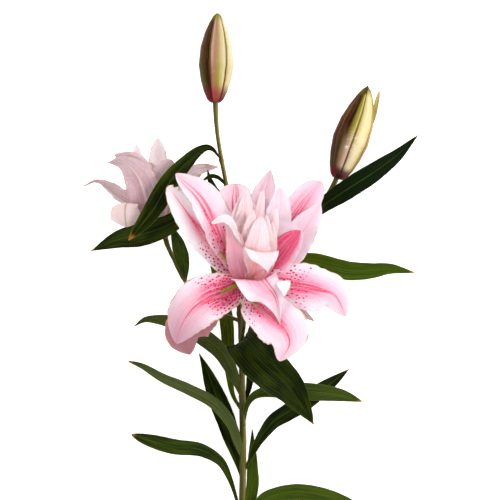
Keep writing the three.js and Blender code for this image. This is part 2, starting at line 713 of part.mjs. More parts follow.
const SIDE_WAVE = [1, 2.5, 1];
const SIDE_PETALS = [
  {
    // front
    spine: [
      SIDE_NECK, [-99.6, 38.6, 50], [-104.8, 50.6, 56], [-109.2, 65.7, 59], [-117.3, 79.9, 59],
      [-129.6, 88.6, 56], [-144.3, 88.9, 50],
    ],
    width: 36, roll: [180, 180], fullest: 0.45, taper: 1.2,
  },
  {
    // left
    spine: [
      SIDE_NECK, [-109.9, 43.1, 38], [-123.2, 50.3, 35], [-135.6, 57.5, 31], [-146.9, 65.7, 27],
      [-159.2, 70.9, 22], [-172.1, 66, 15],
    ],
    width: 21, roll: [150, 130], fullest: 0.45, taper: 1.9,
  },
  {
    // rolled down
    spine: [
      SIDE_NECK, [-100, 32, 44], [-113, 43, 48], [-121.5, 47, 55], [-125, 46, 62], [-126, 38, 66],
      [-125.5, 30, 65], [-124.5, 23.5, 60],
    ],
    width: 31, across: [[-0.6, -0.75, 0], [-1, 0, -0.1], [-1, 0.1, 0]], fullest: 0.84, taper: 0.45,
    cup: [0.5, -0.3, -0.6],
  },
  {
    // top back
    spine: [SIDE_NECK, [-90, 40, 26], [-93.5, 66, 13], [-95, 90, 9], [-95.5, 115.4, 13]],
    width: 22, fullest: 0.62, taper: 0.6,
  },
  {
    // top left back
    spine: [SIDE_NECK, [-96, 40, 26], [-109, 62, 12], [-116, 87, 6], [-118, 109.7, 8]],
    width: 20, taper: 0.8,
  },
  {
    // upper right
    spine: [SIDE_NECK, [-93.5, 38.6, 50], [-94.5, 55.9, 52], [-89.4, 73.2, 50], [-79.6, 91.7, 43]],
    width: 27, roll: [180, 190], taper: 0.5,
  },
  {
    // far right
    spine: [
      SIDE_NECK, [-80.1, 46.2, 30], [-71.9, 66.7, 22], [-62, 79, 19], [-48.6, 84.4, 17], [-33.1, 86.1, 13],
    ],
    width: 15, fullest: 0.55, taper: 0.9,
  },
];

const SIDE_INNER_PETALS = [
  {
    // left
    spine: [SIDE_NECK, [-98, 42, 42], [-108, 64, 42], [-117, 86, 36]],
    width: 22, roll: [180, 180],
  },
  {
    // middle
    spine: [SIDE_NECK, [-92, 42, 36], [-98, 66, 30], [-102, 90, 26]],
    width: 22,
  },
  {
    // right
    spine: [SIDE_NECK, [-88, 40, 40], [-89, 60, 38], [-86, 80, 32]],
    width: 20, roll: [150, 150],
  },
];
const SIDE_RECEPTACLE = {
  spine: [[-86.4, 12, 40.4], [-89, 21, 40.5], [-93, 30, 41]],
  radii: [[0, 3.6], [1, 6.2]],
};

function sideBloomSolid() {
  const outer = SIDE_PETALS.map((petal) =>
    bladeSolid({ ...PETAL, wave: SIDE_WAVE, ...petal }, LARGE_PETAL_GRID, PETAL_THICKNESS),
  );
  const inner = SIDE_INNER_PETALS.map((petal) =>
    bladeSolid({ ...PETAL, ...petal }, SMALL_PETAL_GRID, PETAL_THICKNESS),
  );
  return join([receptacleSolid(SIDE_RECEPTACLE), ...outer, ...inner]);
}

// Assembly

const lily = new THREE.Group();
lily.position.copy(PLANT_SHIFT);

function addPiece(name, solid, color, roughness) {
  const material = new THREE.MeshStandardMaterial({ color, roughness, metalness: 0 });
  const mesh = new THREE.Mesh(geometryOf(tidied(solid)), material);
  mesh.name = name;
  lily.add(mesh);
}

// The cut at the end of the stem, a little aslant, and the flat spot that the stem rests on
const stem = stemSolid(0);
const stemRoom = stemSolid(JOINT_GAP);
const beyondCut = new THREE.BoxGeometry(CUT_BLOCK, CUT_BLOCK, CUT_BLOCK)
  .rotateX(THREE.MathUtils.degToRad(CUT_SLANT))
  .translate(...CUT_BLOCK_CENTRE);
const belowSurface = new THREE.BoxGeometry(...SURFACE_BLOCK).translate(0, 0, -SURFACE_BLOCK[2] / 2);

addPiece("stem", stem.subtract(solidOf(beyondCut)).subtract(solidOf(belowSurface)), STEM_GREEN, 0.5);
for (const leaf of LEAVES) {
  addPiece(leaf.name, leafSolid(leaf).subtract(stemRoom), LEAF_GREEN, 0.4);
}
addPiece("bud_top", budSolid(TOP_BUD).subtract(stemRoom).subtract(solidOf(belowSurface)), BUD_GREEN, 0.45);
addPiece("bud_right", rightBudSolid().subtract(stemRoom).subtract(solidOf(belowSurface)), BUD_GREEN, 0.45);
addPiece("bloom_main", mainBloomSolid().subtract(stemRoom), PETAL_PINK, 0.6);
addPiece("bloom_side", sideBloomSolid().subtract(stemRoom), PALE_PINK, 0.6);

export default lily;
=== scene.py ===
import math
import zlib

import bpy
import numpy as np
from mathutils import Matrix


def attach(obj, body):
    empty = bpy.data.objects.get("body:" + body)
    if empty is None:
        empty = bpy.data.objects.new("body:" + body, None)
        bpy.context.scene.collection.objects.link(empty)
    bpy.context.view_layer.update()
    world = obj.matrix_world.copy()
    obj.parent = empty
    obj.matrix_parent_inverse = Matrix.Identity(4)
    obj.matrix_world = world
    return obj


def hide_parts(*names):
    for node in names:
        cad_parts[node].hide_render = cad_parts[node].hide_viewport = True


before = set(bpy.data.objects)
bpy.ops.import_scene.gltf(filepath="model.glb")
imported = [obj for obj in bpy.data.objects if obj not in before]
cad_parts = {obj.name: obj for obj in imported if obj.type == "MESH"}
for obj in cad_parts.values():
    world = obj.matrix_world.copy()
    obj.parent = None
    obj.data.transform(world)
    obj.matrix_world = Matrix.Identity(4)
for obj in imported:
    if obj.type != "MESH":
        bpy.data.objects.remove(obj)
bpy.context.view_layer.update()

# Lengths below are in millimetres, in the plant's own frame; SHIFT and MM take them to the row frame.
MM = 0.001
SHIFT = np.array((-0.7, 39.5, 0.0))
MAIN_NECK = (-4, -50, 58)
SIDE_NECK = (-87, 15, 40)

# The slanted cut at the foot of the stem, and how far its outermost ring is drawn in
CUT_POINT = np.array((-7.8, -326.71, -4.6))
CUT_NORMAL = np.array((0.0, 0.819, -0.574))
CUT_BEVEL = 0.12

# A blade keeps this half width at its tip, and its flattest cup is this angle
LEAST_HALF_WIDTH = 0.45
FLATTEST_CUP = 1e-3
# The waves of a blade's two margins run out of step by this angle
EDGE_LAG = 2.1
# Waves along the margins, as pairs of their number and height
FRILLS = ((7, 1), (12.5, 0.6))
NOTCHES = ((4.3, 1), (13.7, 0.6))
# The waves of FRILLS begin at this share of the half width
FRILL_FROM = 0.6
# A torn tip's tears, and the shares of the length where they begin and are full
TEARS = 27
TORN_FROM, TORN_FULL = 0.86, 0.93
# Rows of points crowd towards the tip by this power
TIP_CROWDING = 1.5
# A blade's margin keeps this share of its thickness
RIM_THICKNESS = 0.3
# Widths of the midrib's groove and keel, as shares of the half width
GROOVE_WIDTH, KEEL_WIDTH = 0.07, 0.05
# The back repeats this share of the front's relief
BACK_RELIEF = 0.8

# Points with which a curve's length is measured, and the step with which its direction is
CURVE_STEPS = 401
CURVE_NUDGE = 1e-4
FULL_TURN = 2 * np.pi


def srgb(r, g, b):
    """A colour given as screen values from 0 to 255, as linear light."""
    shares = (r / 255, g / 255, b / 255)
    return tuple(c / 12.92 if c <= 0.04045 else ((c + 0.055) / 1.055) ** 2.4 for c in shares)


# Curves


def smooth_curve(points, ts):
    """Points of a centripetal Catmull-Rom curve at parameters from 0 to 1."""
    p = np.asarray(points, float)
    last = len(p) - 1
    place = last * np.asarray(ts, float)
    i = np.minimum(np.floor(place).astype(int), last - 1)
    w = (place - i)[:, None]
    ends = np.vstack([2 * p[0] - p[1], p, 2 * p[-1] - p[-2]])
    a, b, c, d = ends[i], ends[i + 1], ends[i + 2], ends[i + 3]
    gap = [((q - r) ** 2).sum(1)[:, None] ** 0.25 for q, r in ((a, b), (b, c), (c, d))]
    t1 = ((b - a) / gap[0] - (c - a) / (gap[0] + gap[1]) + (c - b) / gap[1]) * gap[1]
    t2 = ((c - b) / gap[1] - (d - b) / (gap[1] + gap[2]) + (d - c) / gap[2]) * gap[1]
    return b + t1 * w + (-3 * b + 3 * c - 2 * t1 - t2) * w**2 + (2 * b - 2 * c + t1 + t2) * w**3


def stations(points, shares):
    """Places and directions at shares of a curve's length, and that length."""
    ts = np.linspace(0, 1, CURVE_STEPS)
    at = smooth_curve(points, ts)
    run = np.concatenate([[0], np.cumsum(np.linalg.norm(np.diff(at, axis=0), axis=1))])
    t = np.interp(np.asarray(shares) * run[-1], run, ts)
    ahead, behind = np.minimum(t + CURVE_NUDGE, 1), np.maximum(t - CURVE_NUDGE, 0)
    step = smooth_curve(points, ahead) - smooth_curve(points, behind)
    return smooth_curve(points, t), step / np.linalg.norm(step, axis=1)[:, None], run[-1]


def between(values, s):
    return np.interp(s, np.linspace(0, 1, len(values)), values)


def bell(x, width):
    return np.exp(-((x / width) ** 2))


def ease(x, low, high):
    x = np.clip((x - low) / (high - low), 0, 1)
    return x * x * (3 - 2 * x)


# Meshes


def add_piece(name, points, faces, values, material, node):
    """Adds one piece of the plant, with a number per point for each name that its material reads."""
    mesh = bpy.data.meshes.new(name)
    mesh.from_pydata(((points + SHIFT) * MM).tolist(), [], faces)
    for key, column in values.items():
        mesh.attributes.new(key, "FLOAT", "POINT").data.foreach_set("value", np.asarray(column, np.float32))
    mesh.shade_smooth()
    mesh.materials.append(material)
    piece = bpy.data.objects.new(name, mesh)
    bpy.context.scene.collection.objects.link(piece)
    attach(piece, "root")
    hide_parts(node)


def half_width(blade, s):
    full, taper = blade["fullest"], blade["taper"]
    rise = taper * full / (1 - full)
    body = (s / full) ** rise * ((1 - s) / (1 - full)) ** taper
    return blade["width"] / 2 * np.hypot(body, blade["root"] * (1 - s) ** 2) + LEAST_HALF_WIDTH * s


def blade_grid(blade, shares, ts, rng):
    """Middle surface of a blade as an array of points, with its half widths and its length."""
    at, tangent, length = stations(blade["spine"], shares)
    side = np.stack([tangent[:, 1], -tangent[:, 0], 0 * tangent[:, 0]], 1)
    if blade["across"]:
        side = np.stack([between(axis, shares) for axis in zip(*blade["across"])], 1)
    side = side - (side * tangent).sum(1)[:, None] * tangent
    side /= np.linalg.norm(side, axis=1)[:, None]
    roll = np.radians(between(blade["roll"], shares))[:, None]
    side = side * np.cos(roll) + np.cross(tangent, side) * np.sin(roll)
    up = np.cross(side, tangent)
    half = half_width(blade, shares)[:, None]
    cup = between(blade["cup"], shares)[:, None]
    cup = np.where(np.abs(cup) < FLATTEST_CUP, FLATTEST_CUP, cup)
    s, t = shares[:, None], ts[None, :]
    height, waves, phase = blade["wave"]
    lag = np.where(t < 0, EDGE_LAG, 0)
    ruffle = height * np.sin(np.pi * s) * t**2 * np.sin(FULL_TURN * waves * s + phase + lag)
    (frills, high), (small_frills, low) = FRILLS
    # Six phases are drawn and four are used, so that the draws that follow stay the same
    start = rng.uniform(0, 6.28, 6)
    frill = high * np.sin(FULL_TURN * frills * s + start[0] + 2.5 * np.sign(t))
    frill = frill + low * np.sin(FULL_TURN * small_frills * s + start[1] + t)
    frill = blade["frill"] * frill * ease(np.abs(t), FRILL_FROM, 1)
    ruffle = ruffle + frill * np.sin(np.pi * np.clip(s, 0, 1)) ** 0.5
    (notches, deep), (small_notches, shallow) = NOTCHES
    notch = deep * np.sin(FULL_TURN * notches * s + start[2] + 2 * np.sign(t))
    notch = notch + shallow * np.sin(FULL_TURN * small_notches * s + start[3] + np.sign(t))
    tear = ease(s, TORN_FROM, TORN_FULL) * np.sin(FULL_TURN * TEARS * s + 4 * t) * np.clip(t, 0, 1)
    ragged = 1 + blade["ragged"] * notch * np.abs(t) + blade["torn"] * tear
    lift = half * (1 - np.cos(cup * t)) / cup + blade["fold"] * half * np.abs(t) + ruffle
    out = half * np.sin(cup * t) / cup * ragged
    points = at[:, None, :] + side[:, None, :] * out[..., None] + up[:, None, :] * lift[..., None]
    return points, np.broadcast_to(half, out.shape), length


def normals_of(grid):
    across = np.empty_like(grid)
    across[:, 1:-1] = grid[:, 2:] - grid[:, :-2]
    across[:, 0], across[:, -1] = grid[:, 1] - grid[:, 0], grid[:, -1] - grid[:, -2]
    ahead = np.empty_like(grid)
    ahead[1:-1] = grid[2:] - grid[:-2]
    ahead[0], ahead[-1] = grid[1] - grid[0], grid[-1] - grid[-2]
    normal = np.cross(across, ahead)
    return normal / np.linalg.norm(normal, axis=2)[..., None]


def blade_piece(name, blade, material, node, slot, size):
    """A leaf or petal with keel, midrib groove and veins. Gives back the upper face, where spots grow."""
    rows, cols = size
    rng = np.random.default_rng(zlib.crc32(name.encode()))
    shares = 1 - (1 - np.linspace(0, 1, rows + 1)) ** TIP_CROWDING
    ts = np.linspace(-1, 1, cols + 1)
    middle, half, length = blade_grid(blade, shares, ts, rng)
    normal = normals_of(middle)
    s, t = np.meshgrid(shares, ts, indexing="ij")
    fade = np.sin(np.pi * np.clip(s * 0.96 + 0.02, 0, 1)) ** 0.5
    thick = blade["thick"] * (RIM_THICKNESS + (1 - RIM_THICKNESS) * (1 - t**2)) / 2
    veins = np.cos(FULL_TURN * blade["veins"] * np.abs(t) ** 0.9) * (1 - np.abs(t) ** 4)
    swell = np.sin(9 * s + 3 * t + rng.uniform(0, 6)) + np.sin(17 * s - 4 * t + rng.uniform(0, 6))
    groove = blade["groove"] * bell(t, GROOVE_WIDTH)
    relief = (blade["relief"] * veins - groove + blade["swell"] * swell) * fade
    keel = blade["keel"] * bell(t, KEEL_WIDTH) * fade
    front = middle + normal * (thick + relief)[..., None]
    back = middle - normal * (thick - BACK_RELIEF * relief + keel)[..., None]
    points = np.concatenate([front.reshape(-1, 3), back.reshape(-1, 3)])
    n, back_at = cols + 1, (rows + 1) * (cols + 1)
    faces = []
    for i in range(rows):
        for j in range(cols):
            a = i * n + j
            faces.append((a, a + 1, a + 1 + n, a + n))
            b = a + back_at
            faces.append((b, b + n, b + 1 + n, b + 1))
        a, b = i * n, i * n + cols
        faces.append((a, a + n, a + n + back_at, a + back_at))
        faces.append((b + n, b, b + back_at, b + n + back_at))
    for j in range(cols):
        a, b = j, rows * n + j
        faces.append((a + 1, a, a + back_at, a + 1 + back_at))
        faces.append((b, b + 1, b + 1 + back_at, b + back_at))
    rim = np.minimum(half * (1 - np.abs(t)), length * (1 - s))
    values = {key: np.tile(grid.ravel(), 2) for key, grid in (("s", s), ("t", t), ("rim", rim))}
    values["face"] = np.repeat((1.0, 0.0), back_at)
    add_piece(name, points, faces, values, material, node)
    return front


def round_piece(name, spine, sides, rings, radius_at, material, node, slot, cut=False):
    """A closed body round a curve. Its angle is measured from straight up, clockwise towards the tip."""
    shares = np.linspace(0, 1, rings + 1)
    at, tangent, _ = stations(spine, shares)
    angles = FULL_TURN * np.arange(sides) / sides
    up = np.array((0.0, 0.0, 1.0))
    ring = []
    for centre, along, s in zip(at, tangent, shares):
        up = up - up.dot(along) * along
        up /= np.linalg.norm(up)
        right = np.cross(along, up)
        radius = radius_at(s, angles)[:, None]
        ring.append(centre + radius * (np.cos(angles)[:, None] * up + np.sin(angles)[:, None] * right))
    ring = np.array(ring)
    if cut:
        behind = (ring - CUT_POINT) @ CUT_NORMAL < 0
        first = int(np.argmax(~behind.all(1)))
        ring, at, tangent, shares = ring[first:], at[first:], tangent[first:], shares[first:]
        depth = np.minimum((ring - CUT_POINT) @ CUT_NORMAL, 0) / (tangent @ CUT_NORMAL)[:, None]
        ring = ring - depth[..., None] * tangent[:, None, :]
        at[0] = ring[0].mean(0)
        ring[0] += CUT_BEVEL * (at[0] - ring[0])
    count = len(shares)
    points = np.vstack([ring.reshape(-1, 3), at[:1], at[-1:]])
    points[:, 2] = np.maximum(points[:, 2], 0)
    faces = []
    for i in range(count - 1):
        for k in range(sides):
            a, b = i * sides + k, i * sides + (k + 1) % sides
            faces.append((a, b, b + sides, a + sides))
    foot, tip, last = count * sides, count * sides + 1, (count - 1) * sides
    for k in range(sides):
        faces.append((foot, (k + 1) % sides, k))
        faces.append((tip, last + k, last + (k + 1) % sides))
    values = {
        "s": np.concatenate([np.repeat(shares, sides), [shares[0], 1]]),
        "upward": np.concatenate([np.tile(np.cos(angles), count), [0, 0]]),
        "sideward": np.concatenate([np.tile(np.sin(angles), count), [0, 0]]),
        "end": np.concatenate([np.zeros(count * sides), [1, 0]]),
    }
    add_piece(name, points, faces, values, material, node)


# Materials

# Pairs of panels round a bud
BUD_PANELS = 3


class Paint:
    """A material whose helpers add and link nodes. A value is a number, a colour or a node's output."""

    def __init__(self, name, roughness, specular=0.5, subsurface=0, reach=0.002):
        self.material = bpy.data.materials.new(name)
        self.material.use_nodes = True
        self.tree = self.material.node_tree
        self.shader = self.tree.nodes["Principled BSDF"].inputs
        self.shader["Roughness"].default_value = roughness
        self.shader["Specular IOR Level"].default_value = specular
        self.shader["Subsurface Weight"].default_value = subsurface
        self.shader["Subsurface Scale"].default_value = reach

    def add(self, kind):
        return self.tree.nodes.new("ShaderNode" + kind)

    def put(self, socket, value):
        if isinstance(value, bpy.types.NodeSocket):
            self.tree.links.new(value, socket)
        elif isinstance(value, tuple) and socket.type == "RGBA":
            socket.default_value = (*value, 1)
        else:
            socket.default_value = value

    def put_all(self, sockets, values):
        for socket, value in zip(sockets, values):
            self.put(socket, value)

    def read(self, *names):
        """The numbers that the mesh holds at each point under these names."""
        nodes = [self.add("Attribute") for _ in names]
        for node, name in zip(nodes, names):
            node.attribute_name = name
        return [node.outputs["Fac"] for node in nodes]

    def math(self, operation, *values):
        node = self.add("Math")
        node.operation = operation
        self.put_all(node.inputs, values)
        return node.outputs[0]

    def times(self, result, *others):
        for value in others:
            result = self.math("MULTIPLY", result, value)
        return result

    def scaled(self, value, factor, offset):
        return self.math("MULTIPLY_ADD", value, factor, offset)

    def minus(self, value, less):
        return self.math("SUBTRACT", value, less)

    def bell(self, value, width):
        """1 where the value is 0, falling off over the width."""
        share = self.math("DIVIDE", value, width)
        return self.math("EXPONENT", self.times(share, share, -1))

    def mix(self, factor, a, b):
        """Colour a where the factor is 0 or less, b where it is 1 or more."""
        node = self.add("Mix")
        node.data_type = "RGBA"
        self.put_all((node.inputs[0], node.inputs[6], node.inputs[7]), (factor, a, b))
        return node.outputs[2]

    def over(self, colour, layer, *shares):
        """The colour with a layer laid over it, by the product of the shares."""
        return self.mix(self.times(*shares), colour, layer)

    def ramp(self, value, *stops, smooth=False):
        """A colour that follows [place, colour] stops."""
        node = self.add("ValToRGB")
        if smooth:
            node.color_ramp.interpolation = "EASE"
        elements = node.color_ramp.elements
        while len(elements) < len(stops):
            elements.new(1)
        for element, (place, colour) in zip(elements, stops):
            element.position = place
            element.color = (*colour, 1)
        self.put(node.inputs[0], value)
        return node.outputs[0]

    def curve(self, value, *stops):
        """A number that follows [place, number] stops smoothly."""
        return self.ramp(value, *((place, (n, n, n)) for place, n in stops), smooth=True)

    def rise(self, value, low, high):
        return self.curve(value, (low, 0), (high, 1))

    def fall(self, value, low, high):
        return self.curve(value, (low, 1), (high, 0))

    def body(self):
        return self.add("TexCoord").outputs["Object"]

    def noise(self, scale, detail=3, roughness=0.5, where=None):
        node = self.add("TexNoise")
        self.put_all((node.inputs[key] for key in ("Scale", "Detail", "Roughness", "Vector")),
                     (scale, detail, roughness, where or self.body()))
        return node.outputs["Fac"]

    def streaks(self, x, y, z, detail=3, roughness=0.5):
        """Noise over x, y and z, each a number or a value with what multiplies it."""
        node = self.add("CombineXYZ")
        self.put_all(node.inputs, (self.times(*v) if isinstance(v, tuple) else v for v in (x, y, z)))
        return self.noise(1, detail, roughness, node.outputs[0])

    def cells(self, scale):
        """Distance to the nearest of many scattered points."""
        node = self.add("TexVoronoi")
        self.put_all((node.inputs["Scale"], node.inputs["Vector"]), (scale, self.body()))
        return node.outputs["Distance"]

    def finish(self, colour, bump=None, height=0.0001, roughness=None):
        self.put(self.shader["Base Color"], colour)
        if roughness is not None:
            self.put(self.shader["Roughness"], roughness)
        if bump is not None:
            node = self.add("Bump")
            self.put_all((node.inputs[key] for key in ("Strength", "Distance", "Height")), (1, height, bump))
            self.put(self.shader["Normal"], node.outputs[0])
        return self.material


def mottled_paint(name, low, high, scale, height=0.0003, **shader):
    """Skin that varies softly between two colours."""
    p = Paint(name, **shader)
    tone = p.noise(scale)
    return p.finish(p.mix(tone, low, high), tone, height)


WHITE_PINK = srgb(246, 228, 236)
SOFT_PINK = srgb(248, 160, 194)
FLUSH_PINK = srgb(246, 70, 134)
MAGENTA = srgb(220, 12, 88)
FRECKLE_PINK = srgb(214, 70, 116)
DUSTY_PINK = srgb(222, 176, 194)
DUSTY_DARK = srgb(196, 140, 160)
# Painted shade: the pink that a petal darkens to towards its tip
TIP_SHADE_PINK = srgb(186, 128, 146)
RIM_BROWN = srgb(206, 136, 84)
CREAM = srgb(232, 222, 206)
THROAT_GREEN = srgb(206, 208, 140)
PETAL_SOAK_RADIUS = (1, 0.45, 0.55)


def petal_paint(name, seed, tone=1, flush=1, rib=1, rib_end=0.9, back=0.5, rim=1, throat=1,
                pale=WHITE_PINK, soft=SOFT_PINK, shade=DUSTY_PINK, dark=DUSTY_DARK, ribs=(0,), flush_at=0,
                flush_wide=0.42, freckles=0, blush=FLUSH_PINK, rib_wide=0.17, stripe=(0, 0.035, CREAM),
                striped=0, fade=((0.55, 0.6), (0.85, 0.08)), contrast=1.1, lines=0.55, green=0, deep=1,
                reach=0.002, soak=0.3, frosted=1, tip_shade=0, worn=0):
    """Pink petal: pale margins, a flush and a magenta midrib on its face, and a duller back."""
    p = Paint(name, 0.6, 0.2, soak, reach)
    p.shader["Subsurface Radius"].default_value = PETAL_SOAK_RADIUS
    s, t, face, edge = p.read("s", "t", "face", "rim")
    aside = p.math("ABSOLUTE", t)
    streaks = p.streaks((t, 30), (s, 2), seed, 4, 0.6)
    broad = p.streaks((t, 7), (s, 2.2), seed + 9, 2)
    veined = p.scaled(streaks, contrast, 1 - contrast / 2)
    # The face: a soft body, a flush, magenta ribs and a green throat
    body = p.curve(aside, (0, 0.95), (0.4, 0.7), (0.68, 0.22), (1, 0))
    along = p.curve(s, (0, 0.25), (0.15, 0.7), (0.45, 0.85), (0.75, 0.55), (1, 0.35))
    front = p.mix(p.times(body, along, veined, 0.85 * tone), pale, soft)
    wide = p.times(p.bell(p.minus(t, flush_at), flush_wide),
                   p.curve(s, (0, 0), (0.14, 0.35), (0.34, 0.95), *fade), veined)
    front = p.over(front, blush, wide, flush)
    near = p.curve(s, (0, 0), (0.12, 0.3), (0.3, 1), (0.7 * rib_end, 0.85), (rib_end, 0.25), (1, 0))
    thin = p.curve(s, (0, 0), (0.1, 0.4), (0.3, 1), (rib_end, 0.5), (1, 0.1))
    line = 0
    for centre in ribs:
        off = p.minus(t, centre)
        one = p.math("ADD", p.times(p.bell(off, rib_wide), near, near), p.times(p.bell(off, 0.025), thin))
        line = p.math("MAXIMUM", line, one)
    front = p.over(front, MAGENTA, line, p.scaled(veined, 0.5, 0.5), 0.95 * rib)
    front = p.over(front, THROAT_GREEN, p.curve(s, (0, 1), (0.1, 0.75), (0.2, 0)), throat)
    # The back, and a stripe along its middle
    dull = p.mix(p.times(body, veined, 0.9), p.mix(0.5, pale, shade), shade)
    dull = p.over(dull, dark, p.curve(s, (0, 0.9), (0.3 * deep, 0.35), (0.8 * deep, 0)), 0.9)
    if green:
        dull = p.over(dull, THROAT_GREEN, p.curve(s, (0, 1), (green - 0.12, 0.9), (green, 0)))
    place, width, tint = stripe
    middle = p.bell(p.minus(t, place), width)
    dull = p.over(dull, tint, middle, back)
    front = p.over(front, tint, middle, striped)
    if freckles:
        dots = p.fall(p.minus(p.cells(560), p.times(streaks, 0.15)), 0.1, 0.24)
        where = p.times(p.curve(s, (0.12, 0), (0.22, 1), (0.5, 0.8), (0.62, 0)),
                        p.curve(aside, (0.05, 0.2), (0.3, 1), (0.85, 1), (0.97, 0)))
        front = p.over(front, FRECKLE_PINK, dots, where, freckles)
    colour = p.mix(face, dull, front)
    # Fine lines, frost, a darker tip of painted shade and a brown worn rim
    fine_lines = p.streaks((t, 22), (s, 3), seed + 4, 3, 0.75)
    colour = p.over(colour, p.mix(0.5, colour, soft), p.fall(fine_lines, 0.36, 0.47), 0.5 * lines)
    colour = p.over(colour, pale, p.rise(fine_lines, 0.5, 0.62), lines)
    colour = p.over(colour, pale, p.rise(broad, 0.35, 0.7), 0.16)
    frost = p.rise(p.noise(520, 3, 0.6), 0.46, 0.66)
    colour = p.over(colour, pale, frost, p.curve(aside, (0, 0.12), (0.9, 0.5)), frosted)
    # Painted shade, darker towards the tip
    colour = p.over(colour, TIP_SHADE_PINK, p.rise(s, 0.5, 0.95), tip_shade)
    frayed = p.minus(edge, p.times(p.minus(p.noise(75), 0.52 - worn), 6))
    brown = p.curve(frayed, (0, 1), (0.4, 0.6), (0.7, 0))
    colour = p.over(colour, RIM_BROWN, brown, 0.8 * rim)
    fine = p.streaks((t, 60), (s, 5), seed)
    return p.finish(colour, p.scaled(p.noise(900, 2), 0.3, fine), 0.0006)


LEAF_DARK = srgb(2, 9, 0)
LEAF_MIDDLE = srgb(16, 28, 0)
# The lighter green of the veins and of the broad patches of painted sheen
LEAF_SHEEN_AND_VEIN_GREEN = srgb(68, 84, 6)
LEAF_UNDER = srgb(62, 76, 38)
LEAF_UNDER_DARK = srgb(50, 66, 30)
LEAF_FOOT = srgb(104, 108, 54)
LEAF_RIM = srgb(120, 130, 60)
MIDRIB_GREEN = srgb(112, 130, 54)
DRY_BROWN = srgb(176, 112, 52)
LEAF_PAINT_VEINS = 7


def leaf_paint(name, seed, light=0.4, dark=LEAF_DARK, middle=LEAF_MIDDLE, lines=0.18, base=0.4,
               foot=LEAF_FOOT, end=1, midrib=0.3):
    """Waxy leaf: parallel veins, mottled green with broad patches of painted sheen, a dry brown tip and a
    greyer underside.
    """
    p = Paint(name, 0.4, 0.05)
    s, t, face, edge = p.read("s", "t", "face", "rim")
    streaks = p.streaks((t, 16), (s, 2.5), seed, 5, 0.6)
    broad = p.streaks((t, 2), (s, 5), seed + 5)
    wave = p.math("POWER", p.math("ABSOLUTE", t), 0.9)
    wave = p.math("COSINE", p.times(wave, 2 * math.pi * LEAF_PAINT_VEINS))
    colour = p.mix(p.rise(streaks, 0.3, 0.75), dark, middle)
    # Painted sheen: broad patches of lighter green, by the share light
    colour = p.over(colour, LEAF_SHEEN_AND_VEIN_GREEN, p.rise(broad, 0.35, 0.75), light)
    colour = p.over(colour, LEAF_SHEEN_AND_VEIN_GREEN, p.rise(wave, 0.55, 1), lines)
    colour = p.over(colour, MIDRIB_GREEN, p.bell(t, 0.03), midrib)
    colour = p.over(colour, foot, p.fall(s, 0, 0.18), base)
    colour = p.mix(face, p.mix(p.rise(streaks, 0.3, 0.8), LEAF_UNDER, LEAF_UNDER_DARK), colour)
    frayed = p.minus(p.minus(1, s), p.times(p.minus(broad, 0.5), 0.05))
    dry = p.curve(frayed, (0, 1), (0.012 * end, 0.8), (0.035 * end, 0))
    colour = p.over(colour, DRY_BROWN, dry)
    colour = p.over(colour, LEAF_RIM, p.fall(edge, 0, 0.45), 0.35)
    fine = p.streaks((t, 45), (s, 6), seed)
    bump = p.math("ADD", p.times(wave, 0.25), p.scaled(p.noise(1200, 2), 0.3, fine))
    return p.finish(colour, bump, 0.0003, p.scaled(streaks, 0.25, 0.3))


def stem_paint(name, green):
    """Smooth skin with long brown and pale streaks, small scars, a pale cut end, a painted highlight down
    one side and painted shade down the other.
    """
    p = Paint(name, 0.45, 0.15)
    s, up, aside, end = p.read("s", "upward", "sideward", "end")
    long = p.streaks((up, 3), (aside, 3), (s, 14), 4)
    short = p.noise(160, 4, 0.6)
    colour = p.mix(p.rise(long, 0.35, 0.65), srgb(56, 48, 8), srgb(100, 96, 26))
    # Painted highlight down the side where sideward is positive, and painted shade down the other side
    colour = p.over(colour, srgb(160, 146, 84), p.rise(aside, 0, 0.7), 0.6)
    colour = p.over(colour, srgb(44, 36, 10), p.rise(p.times(aside, -1), 0.1, 0.8), 0.6)
    colour = p.over(colour, srgb(84, 44, 20), p.rise(short, 0.56, 0.7), 0.6)
    greener = p.curve(p.math("ABSOLUTE", aside), (0, 1), (1, 0.5))
    colour = p.over(colour, srgb(58, 66, 8), greener, green)
    colour = p.over(colour, srgb(190, 196, 140), end)
    return p.finish(colour, p.scaled(short, 0.4, long), 0.0004)


